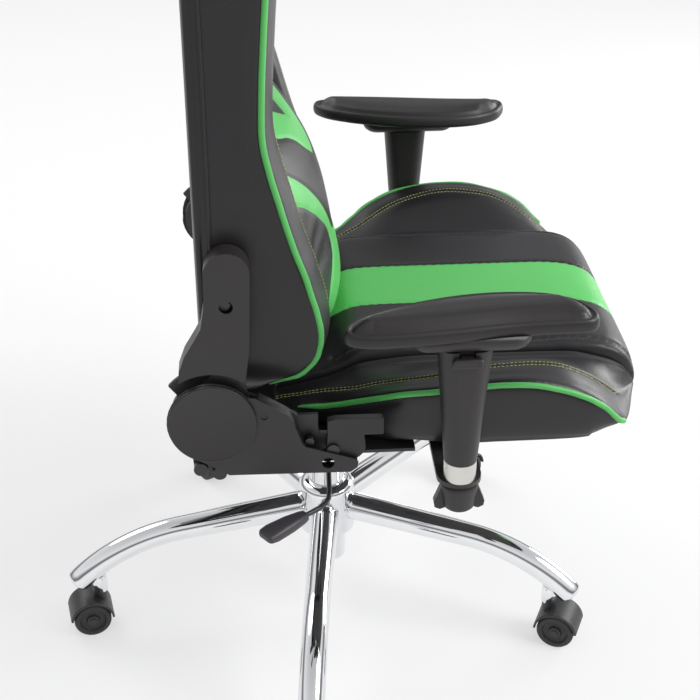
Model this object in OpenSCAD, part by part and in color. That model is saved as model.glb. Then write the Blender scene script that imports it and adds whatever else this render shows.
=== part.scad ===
// Racing-style office chair: five-leg chrome base on twin-wheel casters, gas lift,
// tilt mechanism, bucket seat, reclining back and height-adjustable armrests.
// +X faces the front of the chair, +Y the sitter's left, +Z up.
// The gas lift stands on the Z axis and the casters roll on z = 0.

/* [Star base] */
// Distance from the gas lift to each caster's stem
stem_radius = 318; // [290:1:340]
// Angle of the first leg, turned from the front of the chair
first_leg_angle = -96.3; // [-180:0.1:180]
// Radius of a leg's tube at the hub
leg_root_radius = 19; // [17:0.5:22]
// Radius of a leg's tube from the bend to its tip
leg_tip_radius = 16.5; // [14:0.5:17]
// Height of the legs' centre line where it meets the lift axis
leg_height = 148; // [140:1:160]
// Fall of the straight stretch of a leg, in degrees
leg_fall = 2.3; // [0:0.1:4]
// Distance from the lift axis at which a leg starts to bend
leg_bend_start = 203; // [180:1:215]
// Radius of the bend in a leg
leg_bend_radius = 225; // [210:1:260]
// Slope of a leg at its tip, in degrees
leg_tip_slope = 42; // [36:1:44]
// Outer radius of the hub
hub_radius = 38; // [36:1:46]
// Lower face of the hub
hub_bottom = 108; // [90:1:115]
// Upper face of the hub
hub_top = 185; // [175:1:200]

/* [Casters] */
// Radius of a caster wheel
wheel_radius = 25; // [22:0.5:27]
// Width of one caster wheel
wheel_width = 18; // [12:1:20]
// Offset of the wheel axle behind the caster's stem
caster_trail = 15; // [10:1:22]
// Radius of the stem that plugs into a leg
stem_width = 5.5; // [4:0.25:7]
// Radius of the wheel axle
axle_radius = 4; // [3:0.25:5]
// Height of the leg's socket mouth above the floor
socket_height = 61; // [60:0.5:66]

/* [Gas lift] */
// Outer radius of the gas lift's column
column_radius = 25; // [24:0.5:27]
// Upper end of the column, measured down from the cylinder's taper with the lift down
column_top = 8; // [4:0.5:30]
// Radius of the sliding cylinder
cylinder_radius = 14; // [12:0.5:16]
// Height that the lift can rise
lift_travel = 100; // [60:5:110]

/* [Tilt mechanism] */
// Width of the mechanism's housing
housing_width = 90; // [80:1:100]
// Distance of the tilt pin in front of the lift axis
tilt_pin_x = 60; // [50:1:66]
// Height of the tilt pin, measured down from the seat board
tilt_pin_z = 22; // [20:0.5:24]
// Radius of the tilt pin
tilt_pin_radius = 5; // [4:0.25:6]
// Thickness of the plate that carries the seat
seat_plate_thickness = 4; // [3:0.5:5]
// Radius of the tension knob
tension_knob_radius = 24; // [18:1:28]

/* [Seat] */
// Height of the seat board's underside above the floor, with the lift down
board_height = 396; // [350:0.5:440]
// Thickness of the seat board
board_thickness = 12; // [9:0.5:15]
// Half width of the flat middle of the seat
seat_middle = 165; // [150:1:175]
// Half width over the seat's side wings
seat_half_width = 283; // [275:1:286]
// Height of the middle of the seat above the seat board
seat_height = 67; // [58:1:76]
// Length of the seat in front of the lift axis
seat_front = 368; // [352:1:380]

/* [Back] */
// Distance of the recline hinge behind the lift axis
hinge_back = 138; // [130:1:146]
// Height of the recline hinge above the underside of the seat board
hinge_height = 60; // [54:1:66]
// Half width of the back across its wings
back_half_width = 257; // [240:1:262]
// Height of the back's side wings
wing_height = 595; // [540:5:640]
// Top of the headrest above the side wings
back_top = 180; // [120:5:220]
// Rear face of the back, behind the recline hinge
back_rear = 11; // [8:1:18]
// Radius of the tubes of the back's frame
frame_tube_radius = 10; // [8:0.5:12]
// Distance of the frame's side tubes from the middle
frame_tube_y = 186; // [182:1:190]

/* [Recliner] */
// Radius of the round cap over the hinge
cap_radius = 49; // [44:0.5:52]
// Radius of the hinge pin
hinge_pin_radius = 8; // [6:0.25:10]
// Thickness of the recliner's steel plates
plate_thickness = 5; // [4:0.5:6]
// Distance of the lower plate's inner face from the side of the back
plate_y = 5; // [4:0.5:8]
// Outer face of the recliner's covers, from the lower plate's inner face
cover_y = 23; // [21:0.5:27]
// Radius of the gap ring round the hinge, where the upper cover stops
ring_radius = 62; // [60:0.5:66]

/* [Armrests] */
// Distance of the armrest posts in front of the lift axis
post_x = 133; // [125:1:140]
// Distance of the armrest posts outside the seat's side wings
post_y = 34.7; // [32:0.1:42]
// Height of the post's lower end above the underside of the seat board
post_bottom = 23.5; // [19:0.5:34]
// Height of the post's upper end above its lower end
post_top = 145.5; // [125:0.5:160]
// Radius of the silver tube and of the post's lower end
tube_radius = 18.2; // [16:0.1:20]
// Radius of the inner stem of the silver tube
inner_tube_radius = 15; // [12:0.5:15.5]
// Length of the armrest pad
pad_length = 273; // [240:1:300]
// Width of the armrest pad
pad_width = 93; // [80:1:100]
// Height of the armrest's highest point above the pad's underside
pad_top = 25; // [20:1:33]
// Width of the steel arm bracket
bracket_width = 50; // [40:1:60]
// Thickness of the steel arm bracket
bracket_thickness = 6; // [4:0.5:6]

/* [Clearances] */
// Gap left round a pin or shaft that turns
running_gap = 0.05; // [0.02:0.01:0.09]
// Gap between faces of parts that move against each other
face_gap = 0.3; // [0.3:0.05:0.5]
// Gap between a cushion and what it rests on
soft_gap = 0.3; // [0.2:0.05:0.5]

/* [Hidden] */
SIDES = ["right", "left"];
SIDE_NODES = [
    "seat_wing", "recliner_plate", "lower_cover", "disc_cap", "back_arm",
    "upper_cover", "back_wing", "arm_bracket", "arm_tube", "arm_sleeve", "arm_pad_plate",
    "arm_pad", "arm_button", "wing_knob"
];
$fn = 48;

CHROME = [0.86, 0.87, 0.88];
STEEL = [0.3, 0.31, 0.33];
ZINC = [0.62, 0.63, 0.65];
PLASTIC = [0.22, 0.21, 0.22];
LEATHER = [0.13, 0.13, 0.14];
SATIN = [0.82, 0.81, 0.79];
PLYWOOD = [0.72, 0.6, 0.42];
LEG_COUNT = 5;

// Places that several pieces share, worked out from the sizes above
board_top = board_height + board_thickness;
plate_bottom = board_height - seat_plate_thickness;
pin_level = board_height - tilt_pin_z;
taper_end = pin_level - 12;
taper_start = taper_end - 32;
column_end = taper_start - column_top;
seat_level = board_top + seat_height;
hinge_level = board_height + hinge_height;
hinge = [-hinge_back, hinge_level];
back_face = hinge_back + back_rear;
back_bottom = seat_level - 10;
wing_top = back_bottom + wing_height;
head_top = wing_top + back_top;
plate_face = back_half_width + plate_y;
cover_face = plate_face + cover_y;
post_line = seat_half_width + post_y;
post_foot = board_height + post_bottom;
post_head = post_foot + post_top;
pad_bottom = post_head + 18;

// ---- Shapes that several pieces share ----

// Points on an arc about c from angle a0 to a1
function arc(c, r, a0, a1, n = 8) =
    [for (i = [0:n]) c + r * [cos(a0 + (a1 - a0) * i / n), sin(a0 + (a1 - a0) * i / n)]];

// Rounded rectangle of half sizes a and b about c, anticlockwise
function rounded_ring(a, b, r, c = [0, 0], n = 4) = concat(
    arc(c + [a - r, b - r], r, 0, 90, n), arc(c + [r - a, b - r], r, 90, 180, n),
    arc(c + [r - a, r - b], r, 180, 270, n), arc(c + [a - r, r - b], r, 270, 360, n)
);

// Ring of plan points lifted to height z
function lifted(ring, z) = [for (p = ring) [p.x, p.y, z]];

// Outline moved inwards by d, for an anticlockwise outline with no reversed points
function inset(pts, d) = let (n = len(pts)) [
    for (i = [0:n - 1])
        let (
            before = pts[i] - pts[(i + n - 1) % n],
            after = pts[(i + 1) % n] - pts[i],
            m0 = [-before.y, before.x] / norm(before),
            m1 = [-after.y, after.x] / norm(after)
        )
        pts[i] + d * (m0 + m1) / (1 + m0 * m1)
];

// Solid through rings of equal length, each anticlockwise seen from where the rings lead
module skin(rings) {
    n = len(rings[0]);
    last = len(rings) - 1;
    points = [for (ring = rings) for (p = ring) p];
    sides = [
        for (k = [0:last - 1]) for (i = [0:n - 1])
            [(k + 1) * n + i, (k + 1) * n + (i + 1) % n, k * n + (i + 1) % n, k * n + i]
    ];
    first_cap = [for (i = [0:n - 1]) i];
    last_cap = [for (i = [n - 1:-1:0]) last * n + i];
    polyhedron(points, concat([first_cap], sides, [last_cap]));
}

// Unit vector along v
function unit(v) = v / norm(v);

// Round rod of radius r along a path of points
module bent_rod(path, r, sides = 12) {
    last = len(path) - 1;
    rings = [
        for (k = [0:last])
            let (
                along = unit(path[min(k + 1, last)] - path[max(k - 1, 0)]),
                across = unit(cross(along, [0, 0, 1])),
                up = cross(across, along)
            )
            [for (i = [0:sides - 1]) path[k] + r * (cos(360 * i / sides) * across
                + sin(-360 * i / sides) * up)]
    ];
    skin(rings);
}

// Extrudes an outline drawn in X and Z between two distances from the middle, on the left side
module side_plate(y0, y1) {
    translate([0, y1, 0])
        rotate([90, 0, 0])
            linear_extrude(y1 - y0) children();
}

// Cylinder across the chair between two distances from the middle, at X and Z of p
module cross_pin(p, y0, y1, r) {
    translate([p.x, y1, p.y])
        rotate([90, 0, 0])
            cylinder(h = y1 - y0, r = r);
}

// Left-side geometry, mirrored for the right side
module on_side(side) {
    if (side == "right") mirror([0, 1, 0]) children();
    if (side == "left") children();
}

// ---- Star base ----

bend_z = leg_height - leg_bend_start * tan(leg_fall);
bend_centre = [
    leg_bend_start - leg_bend_radius * sin(leg_fall), bend_z - leg_bend_radius * cos(leg_fall)
];
leg_tip = bend_centre + leg_bend_radius * [sin(leg_tip_slope), cos(leg_tip_slope)];
leg_cap_length = 8;
leg_start = hub_radius - 6;
socket_radius = stem_width + 5;
socket_depth = 23;
column_fit = 0.02;
stem_slope = asin((stem_radius - bend_centre.x) / leg_bend_radius);
stem_leg_z = bend_centre.y + leg_bend_radius * cos(stem_slope);

// Stations of a leg along +X: centre in X and Z, tilt of the section and its radius
leg_bend_steps = 6;
leg_stations = concat(
    [[[leg_start, leg_height - leg_start * tan(leg_fall)], leg_fall, leg_root_radius]],
    [
        for (i = [0:leg_bend_steps])
            let (a = leg_fall + (leg_tip_slope - leg_fall) * i / leg_bend_steps)
            [bend_centre + leg_bend_radius * [sin(a), cos(a)], a, leg_tip_radius]
    ],
    [
        for (a = [22.5:22.5:67.5])
            [
                leg_tip + leg_cap_length * sin(a) * [cos(leg_tip_slope), -sin(leg_tip_slope)],
                leg_tip_slope, leg_tip_radius * cos(a)
            ]
    ]
);

// One leg: a tube that tapers to its bend, with a rounded end and the socket for a caster
module star_leg() {
    sides = 24;
    skin([
        for (s = leg_stations)
            [
                for (i = [0:sides - 1])
                    let (side = s[2] * cos(360 * i / sides), up = s[2] * sin(360 * i / sides))
                    [s[0].x + up * sin(s[1]), side, s[0].y + up * cos(s[1])]
            ]
    ]);
    translate([stem_radius, 0, socket_height])
        cylinder(h = stem_leg_z - socket_height, r = socket_radius);
}

// Places children at every leg
module at_legs() {
    for (i = [0:LEG_COUNT - 1])
        rotate([0, 0, first_leg_angle + i * 360 / LEG_COUNT]) children();
}

module base_star() {
    shoulder = 12;
    foot = 4;
    color(CHROME) difference() {
        union() {
            rotate_extrude()
                polygon(concat(
                    [[0, hub_bottom]],
                    arc([hub_radius - foot, hub_bottom + foot], foot, -90, 0, 4),
                    arc([hub_radius - shoulder, hub_top - shoulder], shoulder, 0, 90, 6),
                    [[0, hub_top]]
                ));
            at_legs() star_leg();
        }
        translate([0, 0, hub_bottom - 1])
            cylinder(h = hub_top - hub_bottom + 2, r = column_radius + column_fit);
        at_legs()
            translate([stem_radius, 0, socket_height - 1])
                cylinder(h = socket_depth + 1, r = stem_width + running_gap);
    }
}

// ---- Casters ----

hood_gap = 1.5;
hood_wall = 3;
web_thickness = 7;
wheel_side_gap = 0.5;
hood_half_width = web_thickness / 2 + wheel_side_gap + wheel_width + 1;
boss_radius = 9;
boss_top = socket_height - face_gap;

// Caster with its stem on the Z axis and its axle behind it along +X
module caster_hood() {
    inner = wheel_radius + hood_gap;
    outer = inner + hood_wall;
    color(PLASTIC) {
        difference() {
            union() {
                translate([caster_trail, 0, wheel_radius])
                    rotate([90, 0, 0])
                        rotate([0, 0, 8])
                            rotate_extrude(angle = 168)
                                polygon(concat(
                                    [[inner - 1, hood_half_width], [inner - 1, -hood_half_width]],
                                    arc([outer - 2, 2 - hood_half_width], 2, -90, 0, 3),
                                    arc([outer - 2, hood_half_width - 2], 2, 0, 90, 3)
                                ));
                translate([caster_trail, web_thickness, wheel_radius])
                    rotate([90, 0, 0])
                        linear_extrude(2 * web_thickness)
                            polygon(concat(
                                arc([0, 0], inner + 1, 12, 172, 16),
                                arc([0, 0], axle_radius + 4, 200, 340, 6)
                            ));
                translate([0, 0, wheel_radius + inner - 6])
                    cylinder(h = boss_top - wheel_radius - inner + 6, r = boss_radius);
            }
            for (side = [-1, 1])
                translate([caster_trail, side * (hood_half_width + web_thickness / 2), wheel_radius])
                    rotate([90, 0, 0])
                        cylinder(h = 2 * hood_half_width, r = inner, center = true);
        }
        translate([caster_trail, hood_half_width, wheel_radius])
            rotate([90, 0, 0])
                cylinder(h = 2 * hood_half_width, r = axle_radius);
        translate([0, 0, boss_top - 1])
            cylinder(h = socket_depth - 1, r = stem_width);
    }
}

// Half of the twin wheel, from the web outwards: tread with rounded edges and a dished side
module caster_wheel() {
    edge = 4;
    dish = 3;
    rotate([-90, 0, 0])
        rotate_extrude()
            polygon(concat(
                [[axle_radius + running_gap, 0]],
                arc([wheel_radius - edge, edge], edge, -90, 0, 4),
                arc([wheel_radius - edge, wheel_width - edge], edge, 0, 90, 4),
                [
                    [wheel_radius - 7, wheel_width],
                    [wheel_radius - 9, wheel_width - dish],
                    [axle_radius + 5, wheel_width - dish],
                    [axle_radius + 4, wheel_width],
                    [axle_radius + running_gap, wheel_width]
                ]
            ));
}

module caster_wheels() {
    color(PLASTIC)
        for (flip = [0, 1])
            mirror([0, flip, 0])
                translate([caster_trail, web_thickness / 2 + wheel_side_gap, wheel_radius])
                    caster_wheel();
}

// Puts a caster at the tip of leg number i, from 1
module at_caster(i) {
    rotate([0, 0, first_leg_angle + (i - 1) * 360 / LEG_COUNT])
        translate([stem_radius, 0, 0]) children();
}

// ---- Gas lift ----

column_bottom = 62;
column_wall = 2;
column_floor = 4;
bush_length = 16;
rod_radius = 5;
rod_clip_radius = 9;
cylinder_bottom = 130;
cylinder_guide = 20;
cylinder_bore = cylinder_radius - 3;
rod_head_z = cylinder_bottom + cylinder_guide + lift_travel + 5;
rod_head_length = 7;
taper_radius = cylinder_radius - 0.8;
valve_top = taper_end + 2;

module gas_column() {
    color(CHROME) difference() {
        translate([0, 0, column_bottom])
            cylinder(h = column_end - column_bottom, r = column_radius);
        translate([0, 0, column_bottom + column_floor])
            cylinder(
                h = column_end - bush_length - column_bottom - column_floor,
                r = column_radius - column_wall
            );
        translate([0, 0, column_end - bush_length - 1])
            cylinder(h = bush_length + 2, r = cylinder_radius + running_gap);
        translate([0, 0, column_bottom - 1])
            cylinder(h = column_floor + 2, r = rod_radius + running_gap);
    }
}

// Rod with its thrust washer on the column's floor, a clip below and a piston head above
module gas_rod() {
    floor_z = column_bottom + column_floor;
    color(ZINC) {
        translate([0, 0, column_bottom - 4])
            cylinder(h = rod_head_z - column_bottom + 4, r = rod_radius);
        translate([0, 0, floor_z + running_gap])
            cylinder(h = 4, r = rod_clip_radius + 3);
        translate([0, 0, column_bottom - 2 - running_gap])
            cylinder(h = 2, r = rod_clip_radius);
        translate([0, 0, rod_head_z])
            cylinder(h = rod_head_length, r = cylinder_bore - running_gap);
    }
}

module gas_cylinder() {
    color(STEEL) difference() {
        union() {
            translate([0, 0, cylinder_bottom])
                cylinder(h = taper_start - cylinder_bottom, r = cylinder_radius);
            translate([0, 0, taper_start])
                cylinder(h = taper_end - taper_start, r1 = cylinder_radius, r2 = taper_radius);
            translate([0, 0, taper_end])
                cylinder(h = valve_top - taper_end, r = 3);
        }
        translate([0, 0, cylinder_bottom - 1])
            cylinder(h = cylinder_guide + 2, r = rod_radius + running_gap);
        translate([0, 0, cylinder_bottom + cylinder_guide])
            cylinder(h = taper_start - 20 - cylinder_bottom - cylinder_guide, r = cylinder_bore);
    }
}

// ---- Tilt mechanism ----

pan_bottom = pin_level - 20;
pan_wall = 3;
pan_rear = -62;
pan_front = tilt_pin_x + 40;
taper_fit = 0.02;
knob_x = tilt_pin_x + 18;
lever_x = -2;
lever_y = -(housing_width - pan_wall) / 2;
lever_z = pin_level - 7;
lever_rod_radius = 3;
lever_slot = 2 * lever_rod_radius + 4;

module mechanism_housing() {
    socket_bottom = taper_start + 2;
    slope = (taper_radius - cylinder_radius) / (taper_end - taper_start);
    profile = [
        [pan_rear, pan_bottom], [pan_front, pan_bottom], [pan_front, pan_bottom + 14],
        [tilt_pin_x + 16, pin_level + 10], [tilt_pin_x - 14, pin_level + 10],
        [0, pin_level + 3], [pan_rear, pan_bottom + 12]
    ];
    color(STEEL) difference() {
        union() {
            difference() {
                side_plate(-housing_width / 2, housing_width / 2) polygon(profile);
                translate([
                    pan_rear + pan_wall, pan_wall - housing_width / 2, pan_bottom + pan_wall
                ])
                    cube([
                        pan_front - pan_rear - 2 * pan_wall, housing_width - 2 * pan_wall,
                        board_height - pan_bottom
                    ]);
            }
            translate([0, 0, socket_bottom])
                cylinder(h = taper_end - socket_bottom, r = cylinder_radius + 6);
        }
        translate([0, 0, taper_start])
            cylinder(
                h = taper_end - taper_start + 1,
                r1 = cylinder_radius + taper_fit,
                r2 = taper_radius + taper_fit + slope
            );
        cross_pin(
            [tilt_pin_x, pin_level], -housing_width / 2 - 1, housing_width / 2 + 1,
            tilt_pin_radius + taper_fit
        );
        translate([
            lever_x - lever_slot / 2, -housing_width / 2 - 1, lever_z - lever_rod_radius - face_gap
        ])
            cube([lever_slot, pan_wall + 2, board_height - pan_bottom]);
        translate([knob_x, 0, pan_bottom - 1])
            cylinder(h = pan_wall + 2, r = 4 + running_gap);
    }
}

module tilt_pin() {
    half = housing_width / 2 + face_gap + seat_plate_thickness + face_gap;
    color(ZINC) {
        cross_pin([tilt_pin_x, pin_level], -half, half, tilt_pin_radius);
        for (flip = [0, 1])
            mirror([0, flip, 0])
                cross_pin([tilt_pin_x, pin_level], half, half + 3, tilt_pin_radius + 3);
    }
}

// Ribbed hand wheel that sets the tilt spring's tension, on a screw into the housing
module tension_knob() {
    top = pan_bottom - face_gap;
    height = 26;
    ribs = 12;
    color(PLASTIC) {
        translate([knob_x, 0, top - height])
            linear_extrude(height)
                difference() {
                    circle(tension_knob_radius);
                    for (i = [0:ribs - 1])
                        rotate([0, 0, i * 360 / ribs])
                            translate([tension_knob_radius + 1, 0]) circle(3.5);
                }
        translate([knob_x, 0, top])
            cylinder(h = 16, r = 4);
    }
}

module seat_plate() {
    ear_y = housing_width / 2 + face_gap;
    ear_radius = tilt_pin_radius + 6;
    ear_top = plate_bottom + seat_plate_thickness / 2;
    color(STEEL) difference() {
        union() {
            translate([seat_plate_x, 0, plate_bottom])
                linear_extrude(seat_plate_thickness)
                    polygon(rounded_ring(plate_bolt_x + 18, plate_bolt_y + 16, 16));
            for (flip = [0, 1])
                mirror([0, flip, 0])
                    side_plate(ear_y, ear_y + seat_plate_thickness)
                        polygon(concat(
                            [
                                [tilt_pin_x + 22, plate_bottom], [tilt_pin_x + 22, ear_top],
                                [tilt_pin_x - 22, ear_top], [tilt_pin_x - 22, plate_bottom]
                            ],
                            arc([tilt_pin_x, pin_level], ear_radius, 200, 340, 10)
                        ));
        }
        cross_pin(
            [tilt_pin_x, pin_level], -housing_width, housing_width, tilt_pin_radius + running_gap
        );
        at_plate_bolts()
            cylinder(h = 3 * seat_plate_thickness, r = bolt_hole, center = true);
    }
}

// ---- Gas lift lever ----

bend_y = lever_y - 228.5;
lever_path = [
    [0, 8, lever_z + 5], [lever_x, lever_y, lever_z], [-7, bend_y + 72, lever_z - 11.5],
    [-9.5, bend_y, lever_z - 16.5], [-11, bend_y - 12, lever_z - 17.3],
    [-15, bend_y - 21, lever_z - 18], [-22, bend_y - 29, lever_z - 18.5],
    [-38, bend_y - 41, lever_z - 19]
];
grip_end = [-86, bend_y - 77, lever_z - 21];

module gas_lever_rod() {
    color(STEEL) bent_rod(lever_path, lever_rod_radius);
}

// Flat handle on the end of the lever's rod, widest at its outer end
module gas_lever_grip() {
    start = lever_path[len(lever_path) - 1];
    along = unit(grip_end - start);
    across = unit(cross(along, [0, 0, 1]));
    up = cross(across, along);
    reach = norm(grip_end - start);
    color(PLASTIC)
        skin([
            for (s = [[0, 6, 5], [0.1, 8, 6], [0.4, 11, 7], [0.8, 13, 6.5], [0.95, 12, 5], [1, 9, 3]])
                [
                    for (p = rounded_ring(s[1], s[2], min(s[1], s[2]) * 0.8))
                        start + along * s[0] * reach - across * p.x + up * p.y
                ]
        ]);
}

// ---- Seat ----

seat_plate_x = 14;
bolt_radius = 4;
bolt_hole = bolt_radius + 0.2;
bolt_head = 7;
bolt_head_height = 5;
plate_bolt_x = 80;
plate_bolt_y = 76;
board_front = seat_front - 56;
board_rear = -60;
rail_inner = 150;
rail_front = 90;
rail_flange_front = hinge.x + 160;
rail_bolt_y = 170;
rail_bolt_x = [board_rear + 30, rail_front - 30];
bracket_bolt_y = [135, 190];
side_bolts = [hinge + [127, -58], hinge + [90, -58]];
lever_pivot = hinge + [133, -43];
guide_bolt = hinge + [107, -33];

module at_plate_bolts() {
    for (x = [-plate_bolt_x, plate_bolt_x], y = [-plate_bolt_y, plate_bolt_y])
        translate([seat_plate_x + x, y, plate_bottom]) children();
}

// Vertical bolt with its head's upper face at the origin
module bolt_up(length) {
    translate([0, 0, -bolt_head_height])
        cylinder(h = bolt_head_height, r = bolt_head, $fn = 6);
    cylinder(h = length, r = bolt_radius);
}

module seat_board() {
    narrow = rail_bolt_y + 16;
    wide = seat_half_width - 58;
    right_half = [
        [board_rear, -narrow], [20, -narrow - 4], [rail_front, -wide], [board_front - 24, -wide],
        [board_front, -wide + 30]
    ];
    left_half = [for (i = [len(right_half) - 1:-1:0]) [right_half[i].x, -right_half[i].y]];
    color(PLYWOOD) difference() {
        translate([0, 0, board_height])
            linear_extrude(board_thickness) polygon(concat(right_half, left_half));
        at_plate_bolts() cylinder(h = 3 * board_thickness, r = bolt_hole);
        for (side = SIDES)
            on_side(side) {
                for (y = bracket_bolt_y)
                    translate([post_x, y, board_height - 1])
                        cylinder(h = board_thickness + 2, r = bolt_hole);
                for (x = rail_bolt_x)
                    translate([x, rail_bolt_y, board_height - 1])
                        cylinder(h = board_thickness + 2, r = bolt_hole);
            }
    }
}

// Angle steels under the board's edges, whose upright flanges carry the recliners
module seat_rails() {
    flange_y = plate_face - seat_plate_thickness;
    color(STEEL)
        for (side = SIDES)
            on_side(side)
                difference() {
                    union() {
                        translate([board_rear, rail_inner, plate_bottom])
                            cube([
                                rail_front - board_rear, flange_y - rail_inner,
                                seat_plate_thickness
                            ]);
                        side_plate(flange_y, plate_face)
                            polygon([
                                [board_rear, plate_bottom - 6],
                                [rail_flange_front, plate_bottom - 6],
                                [rail_flange_front, plate_bottom + 10],
                                [lever_pivot.x + 12, lever_pivot.y + 12],
                                [board_rear, lever_pivot.y + 12]
                            ]);
                    }
                    for (x = rail_bolt_x)
                        translate([x, rail_bolt_y, plate_bottom - 1])
                            cylinder(h = seat_plate_thickness + 2, r = bolt_hole);
                    for (p = side_bolts)
                        cross_pin(p, flange_y - 1, plate_face + 1, bolt_hole);
                }
}

// Hexagon bolts that hold the tilt plate, the rails, the arm brackets and the recliners
module seat_bolts() {
    color(ZINC) {
        at_plate_bolts() bolt_up(seat_plate_thickness + board_thickness);
        for (side = SIDES)
            on_side(side) {
                for (x = rail_bolt_x)
                    translate([x, rail_bolt_y, plate_bottom])
                        bolt_up(seat_plate_thickness + board_thickness);
                for (y = bracket_bolt_y)
                    translate([post_x, y, board_height - bracket_thickness])
                        bolt_up(bracket_thickness + board_thickness);
                for (p = side_bolts)
                    translate([p.x, plate_face + plate_thickness, p.y])
                        rotate([90, 0, 0]) bolt_up(plate_thickness + seat_plate_thickness);
            }
        on_side("right") {
            lever_bolt = lever_outer_y + face_gap;
            cross_pin(lever_pivot, plate_face, lever_bolt, bolt_radius);
            cross_pin(lever_pivot, lever_bolt, lever_bolt + lever_head, bolt_head);
            cross_pin(guide_bolt, plate_face + plate_thickness, lever_outer_y, bolt_radius + 1);
        }
    }
}

seat_rear = board_rear - 14;
cushion_bottom = board_top + soft_gap;

module seat_cushion() {
    nose = 16;
    top_front = seat_level - 6;
    color(LEATHER)
        side_plate(-(seat_middle - soft_gap / 2), seat_middle - soft_gap / 2)
            polygon(concat(
                [
                    [seat_rear, cushion_bottom + 4], [seat_rear + 6, cushion_bottom],
                    [board_front + soft_gap, cushion_bottom],
                    [board_front + soft_gap, board_height + 4]
                ],
                arc([seat_front - nose, board_height + 4 + nose], nose, -90, 0, 6),
                [[seat_front - 2, seat_level - 42]],
                arc([seat_front - 40, seat_level - 43], 38, 10, 70, 7),
                [
                    [seat_front - 74, top_front + 3], [seat_front - 128, seat_level],
                    [150, seat_level], [80, seat_level - 3], [40, seat_level - 7],
                    [15, seat_level - 18], [-20, seat_level - 27],
                    [seat_rear + 12, seat_level - 32],
                    [seat_rear, seat_level - 42]
                ]
            ));
}

// Step of a seat wing's edge, by distance from the lift axis: from the recliner's plate at the
// rear and from the seat's half width in front, with a share of the way between them
WING_EDGE_Y = [
    [-60, 59], [-42, 55], [-10, 49], [35, 27], [75, 11.2], [110, 6], [150, 0], [275, 0], [300, 2],
    [322, 8], [335, 31], [345, 59], [355, 92], [362, 112]
];
WING_WIDENS = [[35, 0], [110, 1]];
// Heights of the wing's edge, crest and seam with the flat middle, from the seat's own height
WING_EDGE_Z = [
    [-60, -58], [-42, -49], [-10, -46], [35, -27], [75, -5], [110, 6], [150, 13], [184, 15],
    [220, 13], [252, 5], [275, -4], [300, -19], [322, -42], [335, -50], [345, -55], [355, -58],
    [362, -59]
];
WING_CREST_Z = [
    [-60, -43], [-10, -29], [35, -13], [76, -1], [113, 6], [182, 14], [223, 14], [252, 10],
    [277, 4], [301, -9], [321, -25], [333, -39], [347, -48], [362, -57]
];
WING_SEAM_Z = [
    [-60, -47], [-10, -35], [35, -23], [75, -16], [110, -13], [275, -13], [300, -15], [320, -20],
    [336, -29], [347, -39], [356, -49], [362, -57]
];
WING_X = [
    -60, -42, -10, 15, 35, 55, 75, 110, 150, 184, 220, 252, 275, 300, 322, 335, 345, 355, 362
];

// Side wing of the seat, a padded roll that rises from the flat middle to its outer edge
module seat_wing(side) {
    inner = seat_middle + soft_gap / 2;
    low = cushion_bottom;
    color(LEATHER)
        on_side(side)
            skin([
                for (x = WING_X)
                    let (
                        share = lookup(x, WING_WIDENS),
                        full = plate_face + share * (seat_half_width - plate_face),
                        y = full - lookup(x, WING_EDGE_Y),
                        z = seat_level + lookup(x, WING_EDGE_Z),
                        span = y - inner,
                        rise = z - low,
                        crest_y = y - 0.4 * span,
                        crest = seat_level + lookup(x, WING_CREST_Z),
                        seam = seat_level + lookup(x, WING_SEAM_Z)
                    )
                    [
                        [x, inner, low], [x, y - 0.18 * span, low],
                        [x, y - 0.07 * span, low + 0.12 * rise],
                        [x, y - 0.01 * span, low + 0.6 * rise], [x, y, z],
                        [x, y - 0.15 * span, (z + crest) / 2 + 0.03 * span],
                        [x, crest_y, crest],
                        [x, inner + 0.36 * span, crest + 0.3 * (seam - crest)],
                        [x, inner + 0.14 * span, crest + 0.8 * (seam - crest)],
                        [x, inner, seam]
                    ]
            ]);
}

// ---- Recliners ----

hub_flange = 2;
arm_y = plate_face + plate_thickness + hub_flange + 0.4;
arm_outer_y = arm_y + plate_thickness;
shell_wall = 2.5;
cap_y = cover_face + 4.5;
pin_end_y = cover_face - shell_wall - 1.5;
cover_radius = cap_radius + 1;
disc_radius = 45;
nose_angle = 38;
lug_radius = 8;
lugs = [hinge + [-16, -66], hinge + [5, -72]];

// Outline of the lower cover: the round end, a bevelled top edge and a notch for the lever
function lower_outline(r) = concat(
    [
        for (p = [
            [16, -69], [152, -71], [160, -65], [161, -58], [158, -54], [103, -36], [99, -32],
            [86, 4], [82, 8], [48, 30]
        ])
            hinge + p
    ],
    arc(hinge, r, nose_angle, 245, 22),
    [hinge + [4, -61]]
);

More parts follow.
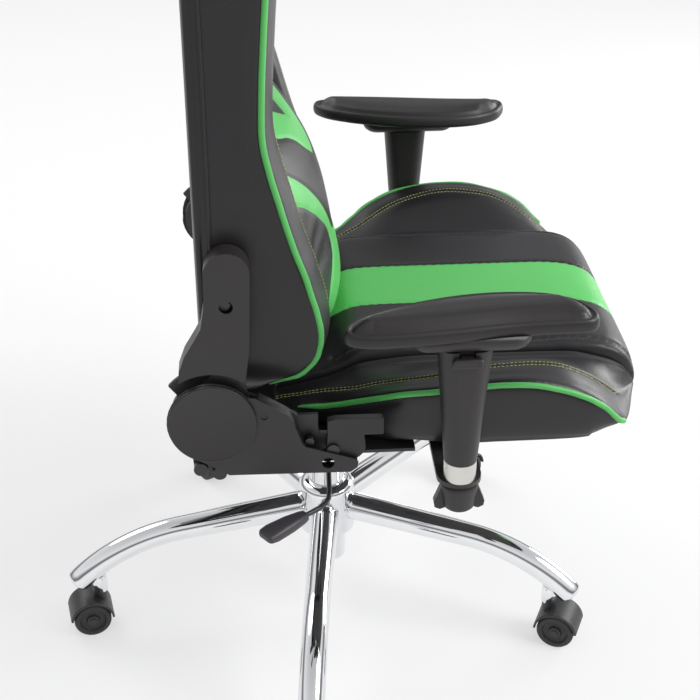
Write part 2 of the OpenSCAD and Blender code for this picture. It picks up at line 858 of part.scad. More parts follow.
module recliner_plate(side) {
    tab = [[117, -24], [117, -4], [94, -4]];
    front = [[16, -64], [152, -67], [157, -60], [154, -52], [142, -32], [119, -28]];
    outline = concat(
        [for (p = concat(front, tab, [[78, 7]])) hinge + p],
        arc(hinge, disc_radius + 1, nose_angle, 46, 1),
        arc(hinge, ring_radius - 1.5, 50, 140, 12),
        arc(hinge, disc_radius + 1, 144, 240, 9)
    );
    color(STEEL)
        on_side(side)
            difference() {
                union() {
                    side_plate(plate_face, plate_face + plate_thickness) polygon(outline);
                    side_plate(plate_face, plate_face + plate_thickness)
                        polygon([
                            hinge + [-26, -36], lugs[0] + [-lug_radius, 0],
                            lugs[1] + [0, -lug_radius], hinge + [18, -62]
                        ]);
                    for (lug = lugs)
                        cross_pin(lug, plate_face, plate_face + 3 * plate_thickness, lug_radius);
                }
                cross_pin(
                    hinge, plate_face - 1, plate_face + plate_thickness + 1,
                    hinge_pin_radius + taper_fit
                );
                for (p = side_bolts)
                    cross_pin(p, plate_face - 1, plate_face + plate_thickness + 1, bolt_hole);
                if (side == "right")
                    cross_pin(
                        lever_pivot, plate_face - 1, plate_face + plate_thickness + 1,
                        bolt_radius + taper_fit
                    );
            }
}

// Both hinge pins: each has a flange against the lower plate and a riveted head outside the arm
module recliner_hubs() {
    color(ZINC)
        for (side = SIDES)
            on_side(side) {
                cross_pin(hinge, plate_face, pin_end_y, hinge_pin_radius);
                cross_pin(
                    hinge, plate_face + plate_thickness, plate_face + plate_thickness + hub_flange, 30
                );
                cross_pin(hinge, arm_outer_y + face_gap, arm_outer_y + face_gap + 3, 14);
            }
}

module lower_cover(side) {
    outer = lower_outline(cover_radius);
    far = 120;
    color(PLASTIC)
        on_side(side)
            difference() {
                side_plate(plate_face + plate_thickness, cover_face) polygon(outer);
                side_plate(plate_face, cover_face - shell_wall) polygon(inset(outer, shell_wall));
                side_plate(plate_face, cover_face - shell_wall)
                    polygon([
                        hinge, hinge + far * [cos(28), sin(28)], hinge + far * [0, 1],
                        hinge + far * [-1, 1], hinge + far * [-1, -0.05]
                    ]);
                side_plate(plate_face, cover_face - shell_wall)
                    polygon([
                        for (p = [[102, -46], [158, -63], [178, -46], [138, -16], [102, -16]])
                            hinge + p
                    ]);
                cross_pin(side_bolts[0], plate_face, cover_face + 1, bolt_head);
                cross_pin(hinge + [57, 6], cover_face - 1.5, cover_face + 1, 4);
            }
}

// Round snap-on cap with a raised rim
module disc_cap(side) {
    color(PLASTIC)
        on_side(side)
            translate([hinge.x, cover_face, hinge.y])
                rotate([-90, 0, 0])
                    rotate_extrude()
                        polygon(concat(
                            [[0, 0], [cap_radius, 0]],
                            arc([cap_radius - 2, cap_y - cover_face - 2], 2, 0, 90, 4),
                            [[cap_radius - 4, cap_y - cover_face - 0.8], [0, cap_y - cover_face - 0.8]]
                        ));
}

arm_top = hinge.y + 194;
arm_half_width = 15;
boss_z = [for (rise = [68, 117, 170]) hinge.y + rise];
arm_line = hinge.x + 22;
cover_hole = 7.5;
arm_bolt_z = [hinge.y + 92, hinge.y + 143];
frame_line = hinge.x + 18;

module back_arm(side) {
    color(STEEL)
        on_side(side)
            difference() {
                side_plate(arm_y, arm_outer_y)
                    polygon(concat(
                        arc(hinge, disc_radius, 170, 365, 22),
                        [[arm_line + arm_half_width, hinge.y + 50]],
                        arc([arm_line, arm_top - arm_half_width], arm_half_width, 0, 180, 10),
                        [[arm_line - arm_half_width, hinge.y + 60]]
                    ));
                cross_pin(hinge, arm_y - 1, arm_outer_y + 1, hinge_pin_radius + running_gap);
                for (z = arm_bolt_z)
                    cross_pin([frame_line, z], arm_y - 1, arm_outer_y + 1, back_bolt_hole);
            }
}

// Moulded shell over the back's arm, hollow towards the chair and open round the hinge
module upper_cover(side) {
    inner_y = back_half_width + 2 + 2 * soft_gap;
    crown = hinge + [23, 181];
    crown_radius = 24.5;
    outer = concat(
        [hinge + [44, 92], hinge + [46, 140]],
        arc(crown, crown_radius, 0, 180, 12),
        [
            for (p = [[-2, 154], [-3, 141], [-7, 118], [-14, 105], [-26, 85], [-33, 66]])
                hinge + p
        ],
        arc(hinge, ring_radius, 123, 52, 10)
    );
    room = inset(outer, shell_wall);
    boss_radius = 5;
    color(PLASTIC)
        on_side(side)
            difference() {
                side_plate(inner_y, cover_face) polygon(outer);
                difference() {
                    union() {
                        side_plate(inner_y - 1, cover_face - shell_wall) polygon(room);
                        side_plate(inner_y - 1, cover_face - shell_wall)
                            polygon([
                                for (p = [[41, 84], [-20, 84], [-28, 14], [34, 14]]) hinge + p
                            ]);
                    }
                    for (z = boss_z)
                        cross_pin([arm_line, z], arm_outer_y, cover_face, boss_radius);
                }
                cross_pin(
                    [arm_line - 1, arm_bolt_z[1]], cover_face - 2 * shell_wall, cover_face + 1,
                    cover_hole
                );
            }
}

// Cross shaft on the hinge line that works both recliners
module sync_shaft() {
    color(ZINC)
        cross_pin(hinge, face_gap - plate_face, plate_face - face_gap, 6);
}

lever_inner_y = plate_face + plate_thickness + 1.5;
lever_head = 3;
lever_boss_radius = 8;
lever_outer_y = cover_face - shell_wall - lever_head - 2 * face_gap;

// Recline lever of the right side: a rounded boss on its pivot with a flat paddle in front
module recline_lever() {
    color(PLASTIC)
        on_side("right")
            difference() {
                side_plate(lever_inner_y, lever_outer_y)
                    polygon(concat(
                        [lever_pivot + [-6, 36], lever_pivot + [-6, 19]],
                        arc(lever_pivot, lever_boss_radius, 150, 250, 5),
                        arc(lever_pivot + [17, 4], 20, 270, 350, 6),
                        [lever_pivot + [35, 17]],
                        arc(lever_pivot + [55, 19], 2, -90, 0, 2),
                        arc(lever_pivot + [55, 36], 2, 0, 90, 2),
                        [lever_pivot + [3, 38.5]]
                    ));
                cross_pin(lever_pivot, plate_face, cover_face, bolt_radius + running_gap);
            }
}

// ---- Back ----

back_bolt_radius = 5;
back_bolt_hole = back_bolt_radius + 0.2;
spacer_radius = 8;
frame_bottom = back_bottom + 17;
frame_top = wing_top - 14;
crossbar_z = [frame_bottom + 18, frame_bottom + 278, frame_top - 16];
foam_rear = 41 - back_face;
panel_front = back_face - 10;
panel_bottom = back_bottom + 3;
wing_inner = 166;
back_middle = wing_inner - soft_gap;

// Side tubes and cross bars of the back's steel frame
module back_frame() {
    color(STEEL) {
        for (side = SIDES)
            on_side(side)
                difference() {
                    translate([frame_line, frame_tube_y, frame_bottom])
                        cylinder(h = frame_top - frame_bottom, r = frame_tube_radius);
                    for (z = arm_bolt_z)
                        cross_pin(
                            [frame_line, z], frame_tube_y - 8, frame_tube_y + 40,
                            back_bolt_radius + taper_fit
                        );
                }
        for (z = crossbar_z)
            difference() {
                cross_pin([frame_line, z], -frame_tube_y, frame_tube_y, frame_tube_radius - 2);
                for (y = [-frame_tube_y, frame_tube_y])
                    translate([frame_line, y, z])
                        cylinder(h = 4 * frame_tube_radius, r = frame_tube_radius, center = true);
            }
    }
}

// Bolts through the back's arms into the frame, each with its spacer tube
module back_bolts() {
    color(ZINC)
        for (side = SIDES)
            on_side(side)
                for (z = arm_bolt_z) {
                    cross_pin([frame_line, z], frame_tube_y - 8, arm_outer_y, back_bolt_radius);
                    translate([frame_line, arm_outer_y + bolt_head_height, z])
                        rotate([90, 0, 0])
                            cylinder(h = bolt_head_height, r = bolt_head + 1, $fn = 6);
                    difference() {
                        cross_pin([frame_line, z], frame_tube_y, arm_y, spacer_radius);
                        cross_pin([frame_line, z], frame_tube_y - 1, arm_y + 1, back_bolt_hole);
                        translate([frame_line, frame_tube_y, z])
                            cylinder(
                                h = 4 * spacer_radius, r = frame_tube_radius + taper_fit,
                                center = true
                            );
                    }
                }
}

module back_rear_panel() {
    half = wing_rear_inner - soft_gap;
    color(LEATHER)
        translate([-back_face, 0, (panel_bottom + wing_top) / 2])
            rotate([90, 0, 90])
                linear_extrude(back_face - panel_front)
                    polygon(rounded_ring(half, (wing_top - panel_bottom) / 2, 20));
}

wing_rear_inner = 200;
// Depth of the side wings' front edge, by height above the back's lower edge
WING_FRONT = [
    [1, 65], [17, 81], [26, 105], [37, 118], [50, 127], [66, 132], [84, 133], [108, 129],
    [129, 123], [151, 117], [177, 108], [208, 99], [238, 91], [268, 83], [306, 76], [355, 77],
    [415, 81], [475, 85], [535, 83], [595, 75]
];
// Inward step of the back's outer edge from its full half width, by the same height
BACK_SIDE = [
    [1, 26], [17, 12], [37, 4], [66, 0], [235, 0], [395, -6], [495, -8], [545, 2], [595, 34]
];
WING_Z = [
    1, 17, 26, 37, 50, 66, 84, 108, 129, 151, 177, 208, 238, 268, 306, 355, 415, 475, 535, 595
];

// Side wing of the back: a bolster that wraps the frame and carries the piping on its edge
module back_wing(side) {
    color(LEATHER)
        on_side(side)
            difference() {
                skin([
                    for (rise = WING_Z)
                        let (
                            z = back_bottom + rise * wing_height / WING_Z[len(WING_Z) - 1],
                            front = lookup(rise, WING_FRONT) - back_face,
                            out = back_half_width - lookup(rise, BACK_SIDE)
                        )
                        [
                            [-back_face, wing_rear_inner, z],
                            [foam_rear, wing_rear_inner, z],
                            [foam_rear, wing_inner, z],
                            [front - 14, wing_inner, z],
                            [front + 8, wing_inner + 18, z],
                            [front + 12, wing_inner + 38, z],
                            [front + 8, out - 22, z],
                            [front, out - 3, z],
                            [front - 14, out, z],
                            [-back_face + 8, out, z],
                            [-back_face, out - 10, z]
                        ]
                ]);
                for (z = arm_bolt_z)
                    cross_pin(
                        [frame_line, z], wing_inner, back_half_width + 10, spacer_radius + soft_gap
                    );
            }
}

// Depth of the back's middle at its centre line and at its edge, by the same height
LUMBAR_FRONT = [
    [0, 153], [15, 164], [35, 169], [55, 169], [80, 165], [100, 160], [129, 155], [162, 148],
    [193, 138], [215, 127], [237, 111], [251, 91], [275, 71], [595, 65]
];
LUMBAR_EDGE = [
    [0, 119], [35, 125], [80, 125], [135, 119], [193, 101], [237, 83], [275, 61], [595, 57]
];
LUMBAR_Z = [0, 7, 15, 35, 55, 80, 100, 129, 162, 193, 215, 237, 251, 275, 435, 595];

module back_center() {
    steps = 6;
    color(LEATHER)
        skin([
            for (rise = LUMBAR_Z)
                let (
                    z = back_bottom + rise * wing_height / LUMBAR_Z[len(LUMBAR_Z) - 1],
                    crown = lookup(rise, LUMBAR_FRONT) - back_face,
                    edge = lookup(rise, LUMBAR_EDGE) - back_face
                )
                concat(
                    [[foam_rear, -back_middle, z]],
                    [
                        for (i = [-steps:steps])
                            [crown - (crown - edge) * pow(i / steps, 2), back_middle * i / steps, z]
                    ],
                    [[foam_rear, back_middle, z]]
                )
        ]);
}

// Depth and half width of the headrest, by height above the side wings
HEAD_Z = [0, 20, 50, 90, 140, 166, 180];
HEAD_FRONT = [[0, 75], [50, 83], [100, 83], [140, 77], [166, 63], [180, 45]];
HEAD_SIDE = [[0, 34], [50, 78], [90, 100], [140, 112], [166, 130], [180, 160]];

module headrest() {
    low = wing_top + soft_gap;
    stretch = (head_top - low) / HEAD_Z[len(HEAD_Z) - 1];
    color(LEATHER)
        skin([
            for (rise = HEAD_Z)
                let (
                    depth = lookup(rise, HEAD_FRONT) / 2,
                    half = back_half_width - lookup(rise, HEAD_SIDE)
                )
                lifted(
                    rounded_ring(depth, half, depth * 0.7, [depth - back_face, 0]),
                    low + rise * stretch
                )
        ]);
}

// ---- Armrests ----

post_depth = 22;
slide_in = 10;
slot_radius = 5.3;
knob_radius = 21.5;
knob_screw = 5;
stem_top = post_head - 20;
bracket_inner = 110;
bracket_z = board_height - bracket_thickness;

// Flat steel bracket bolted under the board, with the slot that sets the armrests' spacing
module arm_bracket(side) {
    tip = bracket_width / 2;
    color(STEEL)
        on_side(side)
            difference() {
                translate([0, 0, bracket_z])
                    linear_extrude(bracket_thickness)
                        polygon(concat(
                            arc([post_x, post_line + tube_radius - tip], tip, 0, 180, 12),
                            [[post_x - tip, bracket_inner], [post_x + tip, bracket_inner]]
                        ));
                for (y = bracket_bolt_y)
                    translate([post_x, y, bracket_z - 1])
                        cylinder(h = bracket_thickness + 2, r = bolt_hole);
                for (y = [post_line - slide_in, post_line])
                    translate([post_x, y, bracket_z - 1])
                        cylinder(h = bracket_thickness + 2, r = slot_radius);
                translate([post_x - slot_radius, post_line - slide_in, bracket_z - 1])
                    cube([2 * slot_radius, slide_in, bracket_thickness + 2]);
            }
}

module arm_tube(side) {
    foot = board_height + face_gap;
    color(SATIN)
        on_side(side)
            translate([post_x, post_line, 0])
                difference() {
                    union() {
                        translate([0, 0, foot])
                            cylinder(h = post_foot - face_gap - foot, r = tube_radius);
                        translate([0, 0, foot])
                            cylinder(h = stem_top - foot, r = inner_tube_radius);
                    }
                    translate([0, 0, foot - 1])
                        cylinder(h = 26, r = knob_screw + running_gap);
                }
}

// Tapered plastic sleeve that slides on the tube, round below and oblong under the pad
module arm_sleeve(side) {
    top_half = 29;
    pocket = button_neck + 0.6;
    color(PLASTIC)
        on_side(side)
            translate([post_x, post_line, 0])
                difference() {
                    skin([
                        for (t = [0, 0.3, 0.6, 1])
                            let (
                                a = tube_radius + 0.3 + (top_half - tube_radius) * t,
                                b = tube_radius + 0.3 + (post_depth - tube_radius) * t
                            )
                            lifted(
                                rounded_ring(a, b, min(b, a) - 0.2 - 5 * t, n = 6),
                                post_foot + (post_head - post_foot) * t
                            )
                    ]);
                    translate([0, 0, post_foot - 1])
                        cylinder(h = stem_top + 6 - post_foot, r = inner_tube_radius + running_gap);
                    translate([-pocket, inner_tube_radius + 1.2, button_bottom + 3])
                        cube([2 * pocket, post_depth, post_head - button_bottom]);
                }
}

button_neck = 8;
button_half = 16.5;
button_bottom = post_head - 16;
button_lip = 11;
button_rise = 4;

// Height release on the post's outer face: a lip for the finger below a neck in the slot
module arm_button(side) {
    lip_y = post_depth + 0.7;
    color(PLASTIC)
        on_side(side)
            translate([post_x, post_line, button_bottom]) {
                translate([0, lip_y, button_lip / 2])
                    rotate([-90, 0, 0])
                        linear_extrude(7)
                            polygon(rounded_ring(button_half, button_lip / 2, 4));
                translate([-button_neck, inner_tube_radius + 1.6, 4])
                    cube([
                        2 * button_neck, lip_y + 2 - inner_tube_radius,
                        post_head - button_bottom - 4 - button_rise - 1
                    ]);
            }
}

module arm_pad_plate(side) {
    color(PLASTIC)
        on_side(side)
            translate([post_x + 4, post_line - 3, 0])
                skin([
                    for (s = [[36, 17, 0], [40, 19, 4], [54, 20, 9], [64, 22, 12], [66, 24, 17.7]])
                        lifted(
                            rounded_ring(s[0], s[1], 12, [(s[0] - 36) * 0.2, 0]),
                            post_head + s[2]
                        )
                ]);
}

// Soft-touch pad: rounded in plan, with a shallow dish along its top
module arm_pad(side) {
    half = pad_length / 2;
    breadth = pad_width / 2;
    color(PLASTIC)
        on_side(side)
            translate([post_x + 8.5, post_line - 6.5, pad_bottom])
                skin([
                    for (s = [[12, 0], [3, 4], [0, 10], [1, 16], [5, 21], [12, 24]])
                        lifted(
                            rounded_ring(half - s[0], breadth - s[0], 36 - s[0], n = 6),
                            s[1] * pad_top / 25
                        )
                ]);
}

// Clamp screw with its cup and the two fins that flare out below it
module wing_knob(side) {
    top = bracket_z - face_gap;
    height = 33;
    fin = 28.5;
    color(PLASTIC)
        on_side(side)
            translate([post_x, post_line, top]) {
                rotate_extrude()
                    polygon(concat(
                        [[0, 0], [0, -height]],
                        arc([knob_radius - 9, 6 - height], 6, -90, 0, 3),
                        [[knob_radius, -4]],
                        arc([knob_radius - 2, -2], 2, 0, 90, 2)
                    ));
                for (turn = [0, 180])
                    rotate([90, 0, turn])
                        translate([0, 0, -5])
                            linear_extrude(10)
                                polygon([
                                    [knob_radius - 8, -2], [knob_radius - 8, -height + 2],
                                    [fin - 7, -height - 1], [fin - 1, 2 - height],
                                    [fin, 8 - height], [knob_radius - 1, -4]
                                ]);
                cylinder(h = bracket_thickness + 2 * face_gap + 16, r = knob_screw);
            }
}

// ---- Nodes ----

base_star();
gas_column();
gas_rod();
gas_cylinder();
mechanism_housing();
tilt_pin();
tension_knob();
gas_lever_rod();
gas_lever_grip();
seat_plate();
seat_board();
seat_rails();
seat_bolts();
seat_cushion();
sync_shaft();
recline_lever();
recliner_hubs();
back_frame();
back_bolts();
back_center();
back_rear_panel();
headrest();
for (side = SIDES) {
    seat_wing(side);
    recliner_plate(side);
    lower_cover(side);
    disc_cap(side);
    back_arm(side);
    upper_cover(side);
    back_wing(side);
    arm_bracket(side);
    arm_tube(side);
    arm_sleeve(side);
    arm_pad_plate(side);
    arm_pad(side);
    arm_button(side);
    wing_knob(side);
}
for (i = [1:LEG_COUNT]) {
    at_caster(i) caster_hood();
    at_caster(i) caster_wheels();
}
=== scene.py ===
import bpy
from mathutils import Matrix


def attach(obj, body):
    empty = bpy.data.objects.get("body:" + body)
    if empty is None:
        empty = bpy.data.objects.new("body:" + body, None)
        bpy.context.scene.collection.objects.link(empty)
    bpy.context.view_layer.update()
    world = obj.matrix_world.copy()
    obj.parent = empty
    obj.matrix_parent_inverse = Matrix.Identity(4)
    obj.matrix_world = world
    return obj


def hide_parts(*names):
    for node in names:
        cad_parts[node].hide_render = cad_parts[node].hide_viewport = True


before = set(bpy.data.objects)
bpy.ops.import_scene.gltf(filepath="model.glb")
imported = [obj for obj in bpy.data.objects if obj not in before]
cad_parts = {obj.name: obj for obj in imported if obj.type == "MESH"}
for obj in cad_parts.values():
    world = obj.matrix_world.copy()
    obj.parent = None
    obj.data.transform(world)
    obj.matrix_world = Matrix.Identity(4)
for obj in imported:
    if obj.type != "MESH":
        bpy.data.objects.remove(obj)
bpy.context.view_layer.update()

import bmesh
import bpy
import numpy as np
from mathutils import Matrix, Vector
from mathutils.bvhtree import BVHTree

# ---- Studio ----
# The chair stands on a pale seamless floor, under a large soft light above its right front. A low
# one on its left front and one behind it are weaker. The camera looks down on its right side.


class Wire:
    """A shader socket. Arithmetic on wires adds Math nodes, also as in 1 - mask."""

    def __init__(self, tree, socket):
        self.tree, self.socket = tree, socket

    def math(self, operation, *values):
        """A Math node on the given values."""
        return self.tree.add("ShaderNodeMath", {"operation": operation}, dict(enumerate(values)))

    def __add__(self, other):
        return self.math("ADD", self, other)

    def __rsub__(self, other):
        return self.math("SUBTRACT", other, self)

    def __mul__(self, other):
        return self.math("MULTIPLY", self, other)

    def abs(self):
        """The value without its sign."""
        return self.math("ABSOLUTE", self)

    def most(self, other):
        """The larger of two values."""
        return self.math("MAXIMUM", self, other)

    def step(self, low, high):
        """0 below low and 1 above high, with a smooth rise between."""
        return self.tree.add(
            "ShaderNodeMapRange", {"interpolation_type": "SMOOTHSTEP"},
            {"Value": self, "From Min": low, "From Max": high})


class Finish:
    """A material, or the world, whose nodes are added one expression at a time."""

    def __init__(self, name, world=False):
        make = bpy.data.worlds if world else bpy.data.materials
        self.data = make.new(name)
        self.data.use_nodes = True
        self.nodes, self.links = self.data.node_tree.nodes, self.data.node_tree.links
        self.nodes.clear()
        self.out = self.nodes.new("ShaderNodeOutputWorld" if world else "ShaderNodeOutputMaterial")

    def plug(self, socket, value):
        """Links a wire to a socket, or sets the socket to a plain value."""
        if isinstance(value, Wire):
            self.links.new(value.socket, socket)
        elif isinstance(value, tuple) and len(value) == 3 and socket.type == "RGBA":
            socket.default_value = (*value, 1)
        else:
            socket.default_value = value

    def add(self, kind, settings=None, values=None, out=0):
        """A node of this kind, its settings made first and then its sockets' values or links."""
        node = self.nodes.new(kind)
        for name, value in (settings or {}).items():
            if name == "stops":
                ramp = node.color_ramp
                while len(ramp.elements) < len(value):
                    ramp.elements.new(0.5)
                for element, (place, colour) in zip(ramp.elements, value):
                    element.position, element.color = place, (*colour, 1)
            else:
                setattr(node, name, value)
        for name, value in (values or {}).items():
            self.plug(node.inputs[name], value)
        return Wire(self, node.outputs[out])

    def place(self):
        """Object coordinates, in metres."""
        return self.add("ShaderNodeTexCoord", out="Object")

    def axis(self, place, name):
        """The X, Y or Z of a place."""
        return self.add("ShaderNodeSeparateXYZ", {}, {"Vector": place}, name)

    def noise(self, place, scale, detail=3, roughness=0.5):
        """Cloudy noise, about scale of its patches along a metre."""
        return self.add(
            "ShaderNodeTexNoise", {},
            {"Vector": place, "Scale": scale, "Detail": detail, "Roughness": roughness})

    def grains(self, place, scale):
        """Rounded cells, scale of them along a metre."""
        return self.add(
            "ShaderNodeTexVoronoi", {"feature": "SMOOTH_F1"}, {"Vector": place, "Scale": scale})

    def mix(self, factor, a, b):
        """Colour a where factor is 0 and b where it is 1."""
        node = self.nodes.new("ShaderNodeMix")
        node.data_type = "RGBA"
        for index, value in ((0, factor), (6, a), (7, b)):
            self.plug(node.inputs[index], value)
        return Wire(self, node.outputs[2])

    def shaded(self, factor, colour, share):
        """A colour, and only that share of it where factor is 0."""
        return self.mix(factor, tuple(c * share for c in colour), colour)

    def bump(self, height, distance, strength, normal=None):
        """Normal of a relief of height times distance, laid over another normal if one is given."""
        values = {"Height": height, "Distance": distance, "Strength": strength}
        if normal is not None:
            values["Normal"] = normal
        return self.add("ShaderNodeBump", {}, values)

    def surface(self, **values):
        """Ends the tree with a Principled shader; a name's underscores stand for spaces."""
        shader = self.add(
            "ShaderNodeBsdfPrincipled", {},
            {name.replace("_", " "): value for name, value in values.items()})
        self.links.new(shader.socket, self.out.inputs["Surface"])
        return self.data


def point_camera():
    """Camera off the sitter's right side: turned 3.8 degrees to the front and 29.5 down."""
    place, pitch, yaw, roll = (-0.07739, -1.65559, 1.31873), 0.51411, 0.06645, -0.00305
    ahead = Vector((np.sin(yaw) * np.cos(pitch), np.cos(yaw) * np.cos(pitch), -np.sin(pitch)))
    right = Vector((np.cos(yaw), -np.sin(yaw), 0))
    up = right.cross(ahead)
    right, up = (right * np.cos(roll) + up * np.sin(roll), up * np.cos(roll) - right * np.sin(roll))
    lens = bpy.data.cameras.new("camera")
    lens.sensor_width, lens.lens, lens.clip_end = 36, 75.4642286, 100
    camera = bpy.data.objects.new("camera", lens)
    turn = Matrix((right, up, -ahead)).transposed().to_4x4()
    camera.matrix_world = Matrix.Translation(place) @ turn
    bpy.context.collection.objects.link(camera)
    bpy.context.scene.camera = camera


def soft_light(name, place, target, size, power):
    """Round area light at place, turned to target."""
    lamp = bpy.data.lights.new(name, "AREA")
    lamp.shape, lamp.size, lamp.energy = "DISK", size, power
    thing = bpy.data.objects.new(name, lamp)
    thing.location = place
    thing.rotation_euler = (Vector(target) - Vector(place)).to_track_quat("-Z", "Y").to_euler()
    bpy.context.collection.objects.link(thing)


def light_room():
    """A pale room whose walls darken above the horizon, so that chrome has lines to mirror. The
    camera sees it plain white."""
    room = Finish("room", world=True)
    height = room.axis(room.add("ShaderNodeTexCoord", out="Generated"), "Z")
    walls = room.add(
        "ShaderNodeValToRGB",
        {"stops": [(0.0, (0.55, 0.55, 0.55)), (0.06, (0.8, 0.8, 0.8)), (0.14, (0.12, 0.12, 0.125)),
                   (0.3, (0.3, 0.3, 0.31)), (0.45, (0.85, 0.85, 0.86)), (1.0, (0.55, 0.55, 0.56))]},
        {0: height})
    seen = room.add("ShaderNodeLightPath", out="Is Camera Ray")
    light = room.add(
        "ShaderNodeBackground", {},
        {"Color": room.mix(seen, walls, (1.0, 1.0, 1.0)), "Strength": 1.0})
    room.links.new(light.socket, room.out.inputs["Surface"])
    bpy.context.scene.world = room.data


def lay_floor():
    """Pale matt floor, with plain white mixed in where the camera or a mirror sees it."""
    size, white_share = 14, 0.55
    corners = [(-size, -size, 0), (size, -size, 0), (size, size, 0), (-size, size, 0)]
    mesh = bpy.data.meshes.new("floor")
    mesh.from_pydata(corners, [], [(0, 1, 2, 3)])
    floor = bpy.data.objects.new("floor", mesh)
    bpy.context.collection.objects.link(floor)
    pale = Finish("pale_floor")
    matt = pale.add(
        "ShaderNodeBsdfDiffuse", {}, {"Color": (0.86, 0.86, 0.86), "Roughness": 0.5})
    white = pale.add("ShaderNodeEmission", {}, {"Color": (1.0, 1.0, 1.0), "Strength": 1.0})
    seen = pale.add("ShaderNodeLightPath", out="Is Camera Ray")
    mirrored = pale.add("ShaderNodeLightPath", out="Is Glossy Ray")
    shown = pale.add(
        "ShaderNodeMixShader", {}, {0: seen.most(mirrored) * white_share, 1: matt, 2: white})
    pale.links.new(shown.socket, pale.out.inputs["Surface"])
    mesh.materials.append(pale.data)


bpy.context.scene.view_settings.view_transform = "Standard"
point_camera()
light_room()
lay_floor()
soft_light("key", (2.4, -1.0, 2.3), (0.1, 0, 0.5), 1.6, 64)
soft_light("front", (2.3, 1.5, 1.0), (0.25, 0, 0.45), 1.2, 26)
soft_light("rim", (-1.6, 1.6, 2.6), (0, 0, 0.6), 1.8, 30)

# ---- Star base ----
# Five steel tubes, tapered and bent down at their tips, are welded to a turned hub, ground
# smooth and chromed as one piece. Each tip holds the socket of a caster.

LEGS, FIRST_LEG, CASTER_REACH = 5, np.radians(-96.3), 0.318


def smooth_path(points, count, closed=False):
    """Curve through points, along the second last axis: between two points a cubic whose end
    slopes are half the chord of the neighbours, at count steps that are even in its parameter."""
    points = np.asarray(points, float)
    held = points.shape[-2]
    if closed:
        before, after = np.roll(points, 1, -2), np.roll(points, -1, -2)
    else:
        before = np.concatenate([points[..., :1, :], points[..., :-1, :]], -2)
        after = np.concatenate([points[..., 1:, :], points[..., -1:, :]], -2)
    slopes = (after - before) / 2
    place = np.linspace(0, held if closed else held - 1, count, endpoint=not closed)
    first = np.minimum(place.astype(int), held - 1 if closed else held - 2)
    second = (first + 1) % held
    t = (place - first)[:, None]
    return (points[..., first, :] * (2 * t**3 - 3 * t**2 + 1)
            + slopes[..., first, :] * (t**3 - 2 * t**2 + t)
            + points[..., second, :] * (3 * t**2 - 2 * t**3)
            + slopes[..., second, :] * (t**3 - t**2))


def new_piece(name, vertices, faces, material):
    """Smooth mesh object at the origin, its doubles merged and its faces turned outwards."""
    mesh = bpy.data.meshes.new(name)
    mesh.from_pydata(vertices, [], faces)
    soft = bmesh.new()
    soft.from_mesh(mesh)
    bmesh.ops.remove_doubles(soft, verts=soft.verts, dist=1e-6)
    bmesh.ops.recalc_face_normals(soft, faces=soft.faces)
    soft.to_mesh(mesh)
    soft.free()
    mesh.polygons.foreach_set("use_smooth", [True] * len(mesh.polygons))
    mesh.materials.append(material)
    piece = bpy.data.objects.new(name, mesh)
    bpy.context.collection.objects.link(piece)
    return piece


def skin_mesh(grid):
    """Vertices and faces over a grid of points: rows follow the piece, columns go round it, and
    one face closes each end."""
    rows, columns = grid.shape[:2]
    index = np.arange(rows * columns).reshape(rows, columns)
    across = np.concatenate([index, index[:, :1]], 1)
    quads = np.stack([across[:-1, :-1], across[:-1, 1:], across[1:, 1:], across[1:, :-1]], -1)
    ends = [index[0, ::-1].tolist(), index[-1].tolist()]
    return grid.reshape(-1, 3), quads.reshape(-1, 4).tolist() + ends


def grid_of(x, y, z):
    """Points whose coordinates are given apart, each as an array that reaches as far as it
    varies."""
    return np.stack(np.broadcast_arrays(x, y, z), -1)


def joined(parts):
    """Vertices and faces of several shapes as one."""
    vertices, faces, start = [], [], 0
    for points, polygons in parts:
        vertices.append(np.asarray(points))
        faces += [[v + start for v in polygon] for polygon in polygons]
        start += len(points)
    return np.concatenate(vertices), faces


def turned(profile, sides, place=(0, 0, 0)):
    """Solid of revolution about the vertical through place: radius and height of each point of
    the closed profile, carried round a circle."""
    profile = np.array(profile + profile[:1], float)
    angle = np.linspace(0, 2 * np.pi, sides, endpoint=False)
    radius, z = profile.T[..., None]
    return skin_mesh(grid_of(radius * np.cos(angle), radius * np.sin(angle), z) + np.array(place))


def round_about(turns, points):
    """Points turned about the vertical axis by an angle."""
    c, s = np.cos(turns), np.sin(turns)
    return points @ np.array([[c, s, 0], [-s, c, 0], [0, 0, 1]])


def chrome_finish():
    """Bright chrome: a plain mirror with the faint waviness of a polished weld."""
    chrome = Finish("chrome_plate")
    place = chrome.place()
    haze = chrome.noise(place, 25, 3)
    return chrome.surface(
        Base_Color=chrome.mix(haze, (0.8, 0.81, 0.83), (0.88, 0.89, 0.9)), Metallic=1.0,
        Roughness=haze * 0.06 + 0.03, Normal=chrome.bump(chrome.noise(place, 14, 1), 0.001, 0.25))


